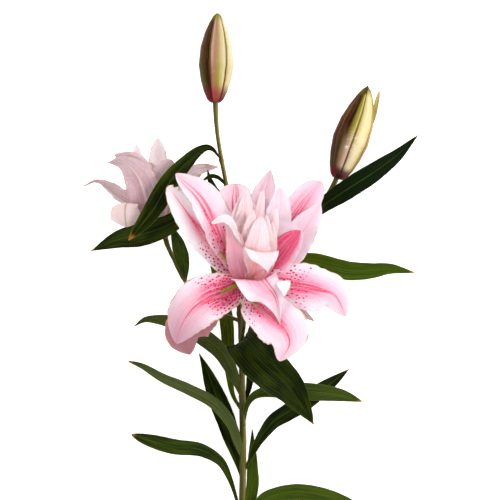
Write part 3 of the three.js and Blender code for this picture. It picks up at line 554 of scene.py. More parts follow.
def bud_paint(name, low, high, turn, wrinkled, foot, foot_end):
    """Closed bud: colours that change round it and along it, partly painted light and shade, a dark foot
    whose top is painted as lit, a green tip and dark grooves painted as shade.
    """
    p = Paint(name, 0.45, 0.05, 0.02)
    s, up, aside = p.read("s", "upward", "sideward")
    angle = p.math("ARCTAN2", aside, up)
    around = p.scaled(angle, 1 / (2 * math.pi), 0.5)
    streaks = p.streaks((up, 14), (aside, 14), (s, 3.5), 4, 0.65)
    cross = p.streaks((angle, 1.6), (s, 44), 3)
    shifted = p.scaled(p.minus(streaks, 0.5), 0.05, around)
    # The ramps round the bud hold painted light and shade as well as its own colours
    colour = p.mix(p.rise(s, 0.25, 0.6), p.ramp(shifted, *low), p.ramp(shifted, *high))
    colour = p.over(colour, srgb(150, 128, 66), p.rise(streaks, 0.5, 0.72), 0.25)
    wrinkles = p.times(p.rise(cross, 0.5, 0.66), p.curve(s, (0.24, 0), (0.32, 1), (0.44, 1), (0.56, 0)),
                       p.curve(around, (0.45, 0), (0.49, 1), (0.6, 1), (0.66, 0)))
    colour = p.over(colour, srgb(240, 228, 214), wrinkles, wrinkled)
    # Painted light: the foot takes the look's colour on its top, where the light falls, and dark red round
    # the rest
    lit = p.curve(around, (0.42, 0), (0.47, 1), (0.56, 0.8), (0.62, 0))
    foot = p.mix(lit, srgb(96, 16, 26), foot)
    colour = p.over(colour, foot, p.curve(s, (0, 1), (0.06, 0.9), (foot_end, 0)))
    colour = p.over(colour, srgb(118, 120, 12), p.rise(s, 0.88, 1))
    # Painted shade: the grooves between the panels are darkened
    panel = p.times(p.minus(angle, math.radians(turn)), float(BUD_PANELS))
    panel = p.math("ABSOLUTE", p.math("COSINE", panel))
    groove = p.curve(panel, (0, 1), (0.1, 0.75), (0.24, 0))
    dark = p.mix(p.rise(s, 0.1, 0.75), srgb(66, 22, 14), srgb(110, 96, 14))
    colour = p.over(colour, dark, groove, 0.85)
    return p.finish(colour, p.scaled(cross, 0.6, streaks), 0.0007)


# The plant

# How a blade's shape is given. fullest is the share of its length where it is widest, taper how fast it
# narrows to the tip and root its share of the width at the foot. cup and roll change along the blade, cup in
# radians and roll in degrees. fold lifts both halves into a V, and wave is a height, a number of waves and a
# phase. across gives directions from left to right margin. The rest are lengths in millimetres, apart from
# veins, which is their number in each half, and ragged and torn, which are shares of the width.
PETAL = dict(
    fullest=0.6, taper=0.75, root=0.2, cup=(0.8, 0.4, 0.2), fold=0, roll=(0, 0), wave=(0, 0, 0), across=None,
    thick=1, veins=9, relief=0.12, groove=0.45, keel=0.5, swell=0.3, frill=0.6, ragged=0.026, torn=0)
HEART = dict(roll=(180, 180), taper=0.8, cup=(0.9, 0.8, 0.5), groove=0.2, keel=0.25)
LEAF = dict(
    fullest=0.5, taper=1.1, root=0.26, cup=(0.5, 0.3, 0.2), fold=0.1, roll=(0, 0), wave=(0.5, 2, 0),
    across=None, thick=0.8, veins=3.5, relief=0.2, groove=0.5, keel=0.5, swell=0.2, frill=0.15,
    ragged=0.012, torn=0)


def blade(width, *spine, **shape):
    """A petal or leaf: its full width, the points that its midline passes and what differs from its kind."""
    return {"width": width, "spine": spine, **shape}


def grown(neck, kind, shape):
    """A petal with the values of its kind, its midline starting at the neck of its bloom."""
    return {**kind, **shape, "spine": (neck, *shape["spine"])}


MAIN_WAVE = (1.4, 3, 0)
MAIN_OUTER_PETALS = {
    "upper_left_back": blade(
        32, (-7, -32, 68), (-25, -12, 75), (-49, 19, 81), (-66, 42, 84), (-82, 64, 83), taper=0.58),
    "upper_left_front": blade(
        34, (-5, -31, 70), (-20, -4, 80), (-34, 30, 89), (-48, 54, 91), (-74, 76, 87), roll=(10, 15)),
    "lower_left_front": blade(
        49, (-8, -35, 74), (-25, -41.5, 90), (-41, -47, 98), (-57.5, -59, 99), (-69, -77, 93),
        (-73.5, -93.5, 84), cup=(0.6, -0.3, -0.7), wave=(1, 3, 1),
        across=((-0.3, 0.95, 0), (-0.4, 0.9, 0), (-0.8, 0.6, 0))),
    "lower_left_back": blade(
        46, (-14, -42, 64), (-42, -55.5, 72), (-59, -71, 72), (-66.5, -88, 64), (-61, -106, 54),
        fullest=0.64, taper=0.8, cup=(0.5, -0.2, -0.6)),
    "bottom_front": blade(
        48, (-1, -37, 74), (8, -56, 96), (22, -67, 102), (34, -78, 103), (39, -92, 98), (29.5, -110.5, 90),
        fullest=0.66, cup=(0.6, -0.2, -0.3), wave=(0.8, 3, 0),
        across=((-0.6, -0.8, 0), (-0.68, -0.73, 0), (-0.82, -0.57, 0))),
    "bottom_back": blade(12, (4, -46, 60), (24, -54, 60), (46, -60, 56), (65, -72, 50), taper=1.1),
    "lower_right": blade(
        47, (3, -33, 72), (22, -33, 88), (44, -35.5, 95), (64, -38.5, 96), (84, -45, 91), (95.5, -66, 81),
        fullest=0.58, cup=(0.6, -0.3, -0.7), wave=(1.4, 3, 2)),
    "right_front": blade(34, (3, -30, 72), (30, -12, 82), (50, 15, 87), (70, 46, 86), roll=(0, -20)),
    "upper_right_back": blade(
        36, (2, -28, 68), (25, 0, 72), (45, 32, 73), (60, 54, 73), (71, 69, 71), fullest=0.66, taper=0.55),
    "top_left": blade(
        41, (-5, -28, 66), (-12, 10, 67), (-15, 45, 64), (-15, 67, 56), across=((1, 0.1, 0), (1, 0.15, 0)),
        taper=0.4, fullest=0.7),
    "top": blade(30, (-1, -28, 66), (8, 20, 66), (14, 55, 64), (21, 81, 59), taper=0.9),
}
MAIN_INNER_PETALS = {
    "curled": blade(
        25, (-7, -28, 82), (-11, -11, 100), (-14.5, 7, 110), (-19, 22, 114), (-24, 32, 113),
        across=((-0.95, -0.2, -0.25), (-0.95, -0.15, -0.25), (-0.9, -0.1, -0.4)), fullest=0.45,
        cup=(0.5, 0.2, -0.4)),
    "folded": blade(
        35, (-1, -31, 80), (4, -20, 100), (11, -3, 115.2), (15, -7, 122.2), (17.5, -21.5, 121.5),
        across=((-1, 0.1, 0), (-1, 0.12, 0)), fullest=0.75, taper=1.8, cup=(0.8, 0.35, 0.05)),
    "drooping": blade(
        50, (4.5, -38.5, 70), (7.5, -31.8, 86), (7.2, -30.6, 104), (7.6, -31.4, 113), (13, -36.8, 116),
        (21, -45, 113.5), (26.3, -57, 110), (29.8, -74, 104), across=((-1, 0, 0), (-1, 0.02, 0), (-1, 0, 0)),
        fullest=0.37, taper=1.6, cup=(0.5, 0, 0.1)),
    "cupped": blade(
        31, (2, -30, 76), (25, -10, 92), (39, 7, 101), (50, 19, 107), taper=0.6, cup=(0.6, 0.35, 0.25),
        roll=(0, 12)),
    "upper_right": blade(30, (2, -28, 72), (22, 10, 92), (29, 40, 97), (29.7, 63, 92), taper=0.8),
    "upper_middle": blade(20, (0, -28, 72), (10, 20, 86), (13, 45, 86), (10, 59, 83), taper=0.8),
    "upper_left": blade(26, (-5, -28, 74), (-8, 15, 92), (-6, 40, 94), (-4.3, 61, 88), taper=0.8),
}

HEART_PETALS = {
    "left_behind": blade(15, (-10, -12, 84), (-13.4, 9.9, 95), (-13.9, 29.7, 99), (-9.9, 50.5, 97)),
    "upper_left": blade(23, (-7, -12, 86), (-5.9, 9.9, 98), (-4.4, 35.5, 104), (-4, 59.8, 101)),
    "twisted": blade(
        11, (11.9, 7.9, 98), (8.9, 23.7, 104), (9.9, 41.4, 106), (13.3, 59.3, 103), cup=(0.9, 0.6, 0.2),
        fullest=0.66),
    "right_small": blade(
        14, (18.8, 2, 98), (21.2, 17.8, 106), (23.1, 30.5, 110), (24.6, 40.8, 110), taper=0.5, fullest=0.7),
    "left_low": blade(18, (-5, -11.9, 98), (-5.4, 0, 106), (-3.9, 11.8, 111), (-0.5, 25.6, 112)),
    "left": blade(19, (-3, -11.9, 98), (-1, 9.8, 110), (1, 25.5, 115), (3.4, 39.3, 113)),
    "right_low": blade(14, (17.8, -11.9, 98), (20.7, 4.9, 108), (22.1, 17.7, 112), (21.6, 28.5, 112)),
    "point": blade(16, (14.8, -11.9, 100), (15.7, 7.9, 112), (16.2, 21.6, 116), (16.2, 34.3, 115)),
    "left_fill": blade(13, (-8.9, -9.9, 97), (-10.4, 5.9, 103), (-9.9, 21.7, 106), (-6.9, 38.5, 105)),
    "front": blade(
        29, (5.9, -13.8, 102), (7.4, 2.9, 117), (8.8, 17.6, 121), (10.8, 32.3, 118), fullest=0.52,
        taper=0.6),
    "cupped_behind": blade(
        19, (8, -2, 90), (18.8, 11.9, 97), (32.6, 22.8, 100), (48.5, 19.8, 101),
        across=((0.5, -0.8, 0.1), (0.3, -0.9, 0.1)), cup=(0.5, 0.3, 0.2)),
}

# The curled petal's margin, turned outwards
CURLED_RIM = blade(
    8.5, (-3.9, -1.5, 108), (-9.3, 7.9, 113), (-14.2, 18.6, 117), (-19.1, 27.9, 120), (-26.4, 30.8, 121),
    (-37.7, 26, 117), fullest=0.66, taper=0.8, root=0.3, cup=(0.2, 0.3, 0.4), thick=0.8,
    across=((-0.5, -0.7, 0.3), (-0.7, -0.5, 0.2), (0.2, -0.9, 0.1)))

# The drooping petal's right corner, turned over
DROOPING_FLAP = blade(
    12, (32.6, -30.3, 121), (33.4, -36, 122), (33.6, -41, 121), (33, -46, 118), fullest=0.2, taper=1.1,
    root=0.95, cup=(-0.3, -0.2, 0), thick=0.8)

SIDE_WAVE = (1, 2.5, 1)
SIDE_PETALS = {
    "front": blade(
        36, (-99.6, 38.6, 50), (-104.8, 50.6, 56), (-109.2, 65.7, 59), (-117.3, 79.9, 59),
        (-129.6, 88.6, 56), (-144.3, 88.9, 50), roll=(180, 180), taper=1.2, fullest=0.45),
    "left": blade(
        21, (-109.9, 43.1, 38), (-123.2, 50.3, 35), (-135.6, 57.5, 31), (-146.9, 65.7, 27),
        (-159.2, 70.9, 22), (-172.1, 66, 15), roll=(150, 130), fullest=0.45, taper=1.9),
    "rolled_down": blade(
        31, (-100, 32, 44), (-113, 43, 48), (-121.5, 47, 55), (-125, 46, 62), (-126, 38, 66),
        (-125.5, 30, 65), (-124.5, 23.5, 60), across=((-0.6, -0.75, 0), (-1, 0, -0.1), (-1, 0.1, 0)),
        fullest=0.84, taper=0.45, cup=(0.5, -0.3, -0.6)),
    "top_back": blade(
        22, (-90, 40, 26), (-93.5, 66, 13), (-95, 90, 9), (-95.5, 115.4, 13), fullest=0.62, taper=0.6),
    "top_left_back": blade(20, (-96, 40, 26), (-109, 62, 12), (-116, 87, 6), (-118, 109.7, 8), taper=0.8),
    "upper_right": blade(
        27, (-93.5, 38.6, 50), (-94.5, 55.9, 52), (-89.4, 73.2, 50), (-79.6, 91.7, 43), roll=(180, 190),
        taper=0.5),
    "far_right": blade(
        15, (-80.1, 46.2, 30), (-71.9, 66.7, 22), (-62, 79, 19), (-48.6, 84.4, 17), (-33.1, 86.1, 13),
        fullest=0.55, taper=0.9),
    "inner_left": blade(22, (-98, 42, 42), (-108, 64, 42), (-117, 86, 36), roll=(180, 180), wave=(0, 0, 0)),
    "inner_middle": blade(22, (-92, 42, 36), (-98, 66, 30), (-102, 90, 26), wave=(0, 0, 0)),
    "inner_right": blade(20, (-88, 40, 40), (-89, 60, 38), (-86, 80, 32), roll=(150, 150), wave=(0, 0, 0)),
}

SIDE_EXTRA_PETALS = {
    "front_behind": blade(
        20, (-101.6, 45.7, 50), (-104.5, 69, 52), (-115.8, 89.4, 51), (-137.4, 96.7, 47), roll=(180, 180)),
    "far_right_low": blade(12, (-74.1, 51.4, 26), (-60.9, 71.2, 20), (-45.5, 86.9, 16), taper=1),
}

HEART_CORE = ((-3.5, -32.5, 70), (0.4, -3.5, 91), (4.5, 25, 112))
MAIN_RECEPTACLE = ((-4.4, -53, 55), (-4, -42, 64), (-3.2, -31, 73))
SIDE_RECEPTACLE = ((-86.4, 12, 40.4), (-89, 21, 40.5), (-93, 30, 41))
# Each filament's radius and the points that it passes
FILAMENTS = {
    "filament_left": (2.1, (-5, -34, 78), (-13, -35, 95), (-28, -41.5, 103)),
    "filament_right": (1.7, (-3, -36, 80), (-2, -47, 103), (7.5, -55, 107)),
    "filament_upper": (1.4, (-8, -30, 76), (-22, -12, 92), (-30, -1.5, 97)),
}

LEAVES = {
    "leaf_low_left": blade(
        15.5, (-7.8, -282, 6.5), (-14, -258, 12), (-21.7, -234.5, 17), (-31, -217.7, 20),
        (-49.5, -206.4, 22), (-77.4, -203, 19), (-106.6, -196.6, 11), (-123.2, -192, 5), fullest=0.72,
        taper=0.75),
    "leaf_low_right": blade(
        17, (-7.8, -304, 5.2), (1, -285, 11), (13.5, -259, 18), (25.8, -252.5, 22), (39, -249.5, 25),
        (51.4, -249, 26), (72, -252, 24), (93, -258.3, 19), (132.4, -275.2, 8)),
    "leaf_low_upright": blade(
        12.5, (-7.8, -281, 7), (-1, -264, 9), (2.6, -245, 10.5), (2.6, -225, 12), (2.4, -186, 14),
        fullest=0.4, root=0.5),
    "leaf_left_behind": blade(
        20, (-7.2, -238, 9.6), (-12.4, -219.5, 9.5), (-18.7, -197, 9), (-24.9, -176.3, 9),
        (-37.3, -145.2, 9.5), (-48.3, -117.3, 10), (-52.9, -107.3, 9), fullest=0.52, taper=1.2, fold=0.25),
    "leaf_middle_right": blade(
        18, (-7.2, -232, 10), (-1.5, -219, 17), (3.6, -207.3, 22), (8.2, -197.7, 25), (14.4, -188.3, 27),
        (24.6, -175.6, 29), (38, -166.9, 30), (53.4, -157.7, 29), (70, -146.1, 26), (87.7, -134.1, 20),
        (102.4, -123.5, 13), fullest=0.6, root=0.16),
    "leaf_middle_left": blade(
        11.5, (-7.4, -214, 12.2), (-12, -200, 18), (-19.8, -178.4, 26), (-36.4, -157.7, 32),
        (-61.5, -143.5, 33), (-88.3, -132.2, 28), (-112, -119.5, 20), (-125.8, -115.1, 15), fullest=0.45,
        taper=0.7, root=0.5, roll=(0, 10), cup=(-0.3, -0.2, 0)),
    "leaf_upper_right": blade(
        17, (-7.9, -179, 15.4), (-2.6, -158.6, 24), (3.6, -150, 30), (12.3, -145.9, 35), (40.9, -143.6, 40),
        (59.2, -144.4, 39), (94.3, -149.1, 31), (115.5, -156.2, 21), fullest=0.62, taper=1, root=0.35),
    "leaf_back_right": blade(
        8.5, (-8, -161, 17), (-2, -146, 14), (0.6, -126, 12), (1.4, -103, 12), (1, -80, 12)),
    "leaf_back_left": blade(
        14, (-8, -167, 16.6), (-17.6, -150, 14), (-21.2, -129.3, 13), (-22.6, -98.2, 12), (-24.8, -70.4, 11),
        (-31, -39.4, 10), (-39, -12.4, 9), (-46, 4, 8), fullest=0.55),
    "leaf_upper_left": blade(
        17.5, (-8.3, -151, 18.6), (-15.4, -132.5, 22), (-29.1, -105.7, 28), (-48.2, -89.2, 31),
        (-77, -75, 29), (-94.7, -71.6, 25), (-108.3, -71.9, 21), (-119.7, -78.8, 15), fullest=0.45),
    "leaf_front": blade(
        43, (-8.4, -107, 24), (-10.5, -100, 36), (-8, -93, 47), (-3, -97, 56), (10.5, -111.5, 61),
        (23, -123.5, 63), (38, -137, 62), (57.5, -165, 56), (64.5, -177, 50), fullest=0.4,
        cup=(0.7, 0.4, 0.2), root=0.3, across=((-0.75, -0.65, 0), (-0.78, -0.62, 0)), relief=0.5),
    "leaf_side_stalk": blade(
        14.5, (-66.3, -32.6, 42.1), (-66.7, -22.4, 46), (-68.6, -10, 49), (-72.3, 4, 51), (-76.5, 16, 52),
        (-80, 25, 52)),
    "leaf_right": blade(
        20, (-14.6, -14, 34.2), (6, -8, 39), (30, -9, 42), (51, -11.5, 43), (69.4, -13.8, 43),
        (86.7, -18.4, 42), (102.1, -21.4, 40), (122.7, -21.2, 36), (143.6, -19.3, 30), (169.5, -23.2, 19),
        taper=1, wave=(1.6, 1.6, 0.6)),
    "leaf_right_bud": blade(
        20.5, (60, 33, 26.5), (67, 39, 30), (77, 47, 35), (100.2, 62.6, 40), (124.6, 78.2, 38),
        (150, 96.6, 30), (173.4, 118.5, 17), fullest=0.42, root=0.5),
    "leaf_long_left": blade(
        23, (-19.8, 30, 34.8), (-31, 39, 44), (-46, 42, 54), (-60.6, 38.4, 60), (-85.7, 23.7, 63),
        (-111.3, 15.2, 58), (-134.2, 10.7, 48), (-163.1, -0.9, 32), fullest=0.6, taper=1.3),
    "leaf_top_bud": blade(
        20, (-29.4, 93, 30.3), (-33.2, 97.1, 38), (-37.7, 102.4, 45), (-43.7, 104.2, 50), (-51.6, 100.5, 54),
        (-60.5, 92.5, 58), (-80.3, 69.2, 65), (-99.1, 38, 72), (-122.1, 9.8, 69), fullest=0.62, taper=0.95,
        fold=0.3, root=0.12),
    "leaf_loop": blade(
        4, (-24.4, 66, 33.1), (-31.7, 73.5, 40), (-39, 75.5, 43), (-45.5, 72.5, 43), (-49, 70, 41),
        root=0.6),
    "leaf_spike": blade(
        6, (-21.9, 47, 34.2), (-29, 55, 36), (-36.5, 63, 37), (-41, 72, 37), (-43.4, 82.2, 35)),
}

# A stem swells by this much at its nodes, over this share of its length
NODE_SWELL, NODE_REACH = 0.45, 0.006
# nodes are where leaves and stalks grow, as shares of the length
STALKS = {
    "stem_axis": {
        "spine": ((-7.8, -324, 3.6), (-7.8, -259.5, 8), (-7.2, -212.5, 12), (-7.9, -155, 18),
                  (-8.7, -97.8, 25), (-11.3, -51.3, 31), (-17.4, 10.2, 35), (-24.6, 67.6, 33),
                  (-29.8, 95.5, 30), (-34, 123.5, 26), (-35.8, 153.8, 20)),
        "radii": ((0, 3.7), (0.4, 3.2), (0.6, 2.9), (0.85, 2.1), (0.94, 2.2), (1, 2.8)), "rings": 420,
        "nodes": (0.085, 0.115, 0.205, 0.215, 0.26, 0.34, 0.36, 0.38, 0.455, 0.49, 0.54, 0.6, 0.735, 0.775,
                  0.815, 0.87),
    },
    "stalk_main": {
        "spine": ((-8.9, -92, 26), (-6.9, -81, 36), (-5.6, -66, 48), MAIN_NECK),
        "radii": ((0, 2.2), (0.6, 2.4), (1, 3.6)), "rings": 60, "nodes": (0.05,),
    },
    "stalk_side": {
        "spine": ((-9.8, -73, 28.5), (-25.6, -66.6, 33), (-46, -54.2, 38), (-66.3, -31.6, 42),
                  (-77.5, -10.2, 43), (-84.6, 6, 41.5), SIDE_NECK),
        "radii": ((0, 2.1), (0.8, 2), (1, 2.9)), "rings": 120, "nodes": (0.02, 0.62),
    },
    "stalk_right": {
        "spine": ((-11.5, -48, 31), (8.2, -25.7, 31), (35.9, 7.2, 29), (60, 33, 26.5), (77.4, 54, 24),
                  (84.5, 64, 22), (90.4, 76.5, 21)),
        "radii": ((0, 2.1), (0.8, 2.1), (1, 2.8)), "rings": 120, "nodes": (0.02, 0.62),
    },
}

BUD_OUTLINE = (
    (0, 0.3), (0.03, 0.46), (0.12, 0.67), (0.25, 0.86), (0.42, 1), (0.62, 0.92), (0.78, 0.7), (0.9, 0.44),
    (0.97, 0.24), (1, 0.08),
)
# low and high are the colours round a bud's lower and upper part, each as a share of the turn and a screen
# colour. They are partly the bud's own colours and partly painted light: darker round its left side, lighter
# round its top, and dark at its grooves as painted shade. look is how wrinkled it is, the colour painted on
# its foot where the light falls, and where the foot ends.
BUDS = {
    "bud_top": {
        "spine": ((-35.8, 152.5, 21), (-35, 190, 17.6), (-33.6, 244.5, 18.3)),
        "radius": 18.4, "turn": 8,
        "look": (0.1, srgb(152, 62, 66), 0.22),
        "low": ((0.2, 76, 58, 38), (0.3, 66, 50, 14), (0.36, 68, 56, 6), (0.41, 40, 24, 4),
                (0.432, 34, 6, 4), (0.446, 116, 68, 54), (0.462, 164, 112, 84), (0.5, 146, 120, 62),
                (0.53, 150, 138, 62), (0.565, 196, 182, 116), (0.592, 214, 204, 156), (0.606, 122, 66, 26),
                (0.628, 206, 188, 130), (0.68, 218, 206, 160), (0.73, 196, 160, 112), (0.8, 150, 100, 70)),
        "high": ((0.2, 76, 56, 40), (0.3, 84, 52, 30), (0.37, 74, 44, 16), (0.41, 48, 18, 8),
                 (0.432, 36, 6, 4), (0.446, 150, 104, 94), (0.462, 196, 156, 146), (0.488, 160, 120, 92),
                 (0.52, 172, 134, 96), (0.55, 196, 180, 132), (0.59, 214, 206, 160), (0.606, 124, 112, 30),
                 (0.628, 214, 200, 156), (0.68, 226, 216, 190), (0.74, 206, 170, 130), (0.8, 160, 120, 90)),
    },
    "bud_right": {
        "spine": ((90.2, 74, 20.9), (103.8, 113, 17.9), (114.3, 143, 19.7), (121.3, 168, 21.7)),
        "radius": 18.9, "turn": -25, "look": (0.8, srgb(40, 4, 2), 0.13),
        "low": ((0.2, 84, 58, 40), (0.32, 56, 30, 10), (0.4, 60, 38, 12), (0.45, 136, 110, 84),
                (0.488, 178, 150, 130), (0.506, 196, 172, 150), (0.516, 84, 62, 20), (0.53, 178, 152, 118),
                (0.57, 222, 208, 174), (0.61, 220, 204, 150), (0.66, 180, 150, 84), (0.74, 140, 98, 46)),
        "high": ((0.2, 64, 26, 12), (0.33, 76, 26, 8), (0.42, 56, 18, 4), (0.437, 22, 12, 2),
                 (0.455, 84, 72, 10), (0.486, 148, 132, 46), (0.505, 200, 188, 128), (0.516, 70, 54, 6),
                 (0.532, 196, 178, 108), (0.58, 232, 218, 170), (0.63, 224, 202, 146), (0.72, 176, 138, 72)),
    },
}
BUD_TIPS = {
    "bud_tip_left": blade(
        5, (110, 146, 28), (116, 158, 28), (121.5, 169.3, 24), across=((1, -0.6, 0.4), (1, -0.6, 0.4)),
        fullest=0.5, taper=0.8, cup=(-0.5, -0.3)),
    "bud_tip_right": blade(
        4.6, (123.5, 124, 20), (127.8, 139, 22), (130.5, 152, 22), (133.5, 163.9, 20),
        across=((0.9, -0.3, 0.3), (0.9, -0.4, 0.3)), fullest=0.5, taper=0.7, root=0.6, cup=(-0.4, -0.2)),
    "bud_tip_inner": blade(
        9, (113, 130, 21), (120, 143, 22), (124, 155, 22), across=((1, -0.4, 0), (1, -0.4, 0)), taper=0.9,
        cup=(-0.5, -0.3)),
}

# How each petal of the main bloom is coloured. spots is their number, and the shares of the petal's length
# between which they lie.
LOOKS = {
    "upper_left_back": dict(
        shade=srgb(250, 226, 234), torn=0.3, rim=1.1, rib=2.8, rib_wide=0.16, flush=1.6, tone=0.1,
        pale=srgb(252, 240, 244), spots=(60, 0.26, 0.55), rib_end=0.85, freckles=0.8),
    "upper_left_front": dict(
        rib=2.4, rib_wide=0.1, flush=2.2, tone=0.7, spots=(46, 0.24, 0.55), ribs=(-0.4, -0.1), flush_at=-0.2,
        flush_wide=0.45, freckles=0.8, fade=((0.5, 0.7), (0.68, 0.1))),
    # This petal's dusty soft pink and its darkening towards the tip are partly painted shade
    "lower_left_front": dict(
        tip_shade=0.7, worn=0.07, blush=srgb(234, 46, 114), rib=2.7, flush=2.8, tone=1.3,
        soft=srgb(232, 150, 178), flush_wide=0.6, spots=(90, 0.22, 0.55), rib_end=0.72, freckles=1,
        fade=((0.4, 0.75), (0.62, 0.05))),
    # Painted shade: this petal, lying under lower_left_front, takes a much darker pink than the others
    "lower_left_back": dict(
        rib=0.1, flush=0.1, pale=srgb(172, 122, 128), soft=srgb(134, 82, 82), lines=0.4, frosted=0.4),
    "bottom_front": dict(
        tip_shade=0.1, worn=0.05, rib=3, rib_wide=0.12, flush=1.5, flush_wide=0.34, spots=(50, 0.26, 0.5),
        rib_end=0.8, freckles=0.9),
    "bottom_back": dict(rib=0.2, flush=0.1, pale=srgb(226, 206, 196), soft=srgb(190, 160, 140)),
    "lower_right": dict(rib=2.2, rib_wide=0.09, flush=2, tone=1.2, spots=(100, 0.26, 0.62), freckles=0.5),
    "right_front": dict(rib=0.2, flush=0.3, spots=(24, 0.3, 0.5)),
    "upper_right_back": dict(
        rib=0.8, flush=1.7, tone=1.6, pale=srgb(246, 222, 234), lines=0.8, rib_end=0.85, flush_at=-0.1,
        fade=((0.7, 0.6), (0.95, 0.1))),
    "top_left": dict(
        rib=2.4, flush=0.9, pale=srgb(248, 226, 234), lines=1, contrast=1.5, ribs=(-0.12, 0.06, 0.2),
        rib_wide=0.06, rib_end=0.98, tone=1.2),
    "top": dict(rib=0.3, flush=0.3, tone=1.4, pale=srgb(232, 212, 220), soft=srgb(214, 160, 178), lines=0.9),
    "curled": dict(
        frosted=0.2, contrast=0.8, rib=0.8, flush=1.6, spots=(30, 0.3, 0.75), back=0.1,
        shade=srgb(250, 186, 204), dark=srgb(214, 34, 80), green=0.22, lines=0.2, deep=2.3),
    "folded": dict(
        rib=0, contrast=1.4, flush=0, back=0, rim=0.2, pale=srgb(238, 228, 232), shade=srgb(255, 150, 156),
        dark=srgb(255, 124, 116), throat=0, tone=0.3, green=0.42),
    "drooping": dict(
        rib=1.2, flush=0.5, ribs=(-0.2, -0.38), rib_end=0.99, throat=0, rim=0.4, tone=1.3, rib_wide=0.05,
        soft=srgb(242, 150, 180)),
    "cupped": dict(
        frosted=0.25, contrast=0.5, lines=0.2, rib=2, flush=3.4, spots=(14, 0.3, 0.65), rib_end=0.98,
        flush_at=-0.25, flush_wide=0.75, rim=0.3, blush=srgb(232, 50, 112), fade=((0.85, 0.95), (1, 0.4))),
    "upper_right": dict(rib=0.05, flush=0.1, tone=0.7, rim=0.2),
    "upper_middle": dict(rib=0.05, flush=0.1, tone=0.7, rim=0.2),
    "upper_left": dict(rib=0.05, flush=0.15, tone=0.7, rim=0.2),
}

SIDE_LOOK = dict(
    pale=srgb(220, 206, 209), soft=srgb(194, 158, 166), shade=srgb(190, 160, 166), flush=0.1, rib=0,
    dark=srgb(196, 110, 132))
WHITER = dict(pale=srgb(246, 240, 240), soft=srgb(216, 184, 190), shade=srgb(226, 206, 208), lines=0.8)
SIDE_LOOKS = {
    "rolled_down": dict(
        pale=srgb(228, 208, 206), shade=srgb(206, 176, 178), soft=srgb(206, 176, 178),
        dark=srgb(190, 140, 148), back=0.8, stripe=(0, 0.04, srgb(130, 122, 66)), striped=1),
    "left": dict(back=0.7, stripe=(0.3, 0.12, srgb(122, 96, 44)), striped=0.9, dark=srgb(186, 100, 120)),
    "front": dict(back=0.8, deep=1.9, dark=srgb(184, 92, 118)),
    "upper_right": dict(back=0.3), "top_back": WHITER, "top_left_back": WHITER,
}
# Each leaf's greens and share of painted sheen. leaf_upper_left and leaf_middle_left are greyer and lighter
# as painted sheen, and leaf_back_left is lighter as painted light against the bloom's shadow on it
LEAF_LOOKS = {
    "leaf_low_right": dict(light=0.7, dark=srgb(26, 38, 4), middle=srgb(78, 98, 26)),
    "leaf_low_left": dict(light=0.6, dark=srgb(6, 14, 0), middle=srgb(44, 60, 18)),
    "leaf_right": dict(light=0.6, dark=srgb(36, 54, 0), middle=srgb(74, 98, 10)),
    "leaf_side_stalk": dict(light=0.7, dark=srgb(20, 40, 8), middle=srgb(62, 84, 26)),
    "leaf_low_upright": dict(light=0.6, dark=srgb(20, 34, 0), middle=srgb(72, 92, 14)),
    "leaf_middle_left": dict(dark=srgb(46, 56, 26), middle=srgb(92, 102, 58)),
    "leaf_upper_left": dict(dark=srgb(46, 56, 24), middle=srgb(86, 94, 50)),
    "leaf_upper_right": dict(light=0.5, dark=srgb(26, 38, 8), middle=srgb(74, 90, 30)),
    "leaf_back_left": dict(light=0.5, dark=srgb(52, 66, 6), middle=srgb(112, 128, 20)),
    "leaf_front": dict(light=0.35, lines=0.22, midrib=0.08, middle=srgb(20, 34, 0)),
    "leaf_right_bud": dict(light=0.03, lines=0.15, dark=srgb(0, 10, 0), middle=srgb(6, 24, 2)),
    "leaf_top_bud": dict(light=0.5, foot=srgb(86, 34, 18), base=0.9, end=1.7),
}
# The seed and name of each bud tip's material, and its look
BUD_TIP_LOOKS = {
    "bud_tip_left": (91, "bud_tip_left_paint", dict(
        tone=0.6, back=0.2, rim=0, throat=0, pale=srgb(84, 66, 12), soft=srgb(36, 28, 4),
        shade=srgb(40, 30, 4))),
    "bud_tip_right": (93, "bud_tip_right_paint", dict(
        tone=0.8, back=0.6, rim=0, throat=0, pale=srgb(206, 196, 110), soft=srgb(168, 156, 50),
        shade=srgb(176, 164, 66), dark=srgb(226, 212, 150), stripe=(0.75, 0.35, srgb(58, 52, 6)),
        striped=0.9)),
    "bud_tip_inner": (92, "bud_inside_paint", dict(tone=0.2, back=0.2, rim=0, throat=0.3)),
}

# Rows and columns of faces on each kind of blade
PETAL_GRID, HEART_GRID, RIM_GRID, FLAP_GRID, SIDE_GRID = (84, 40), (64, 30), (48, 16), (32, 16), (76, 34)
LEAF_GRID, BRACT_GRID, BUD_TIP_GRID = (96, 36), (28, 10), (40, 20)
BRACTS = ("leaf_loop", "leaf_spike")
# Sides and rings of each kind of round piece
CORE_GRID, RECEPTACLE_GRID, FILAMENT_GRID, BUD_GRID = (32, 24), (32, 16), (14, 30), (180, 130)
STEM_SIDES = 28

PANEL_DEPTH, BUD_WRINKLE = 0.07, 0.05
STEM_RIBS, STEM_RIPPLE = 0.07, 0.08

# Spots: their sizes, least distance and sides, the share of the size and the height of each ring, and the
# heights of top and foot
SPOT_SIZES = (0.75, 1.6)
SPOT_GAP = 2.7
SPOT_SIDES = 9
SPOT_RINGS = ((1, -0.12), (0.8, 0.22), (0.42, 0.42))
SPOT_TOP, SPOT_FOOT = 0.5, 0.2
# A spot is longer along its petal than across, and smaller towards the tip
SPOT_LONG, SPOT_WIDE, SPOT_SHRINK = 1.3, 0.85, 0.35
# Spots stay between these shares of the half width
SPOT_BAND = (0.1, 0.85)
SPOT_SEED = 40
SPOT_TRIES = 30
SPOT_THINNING = 0.7

# Building


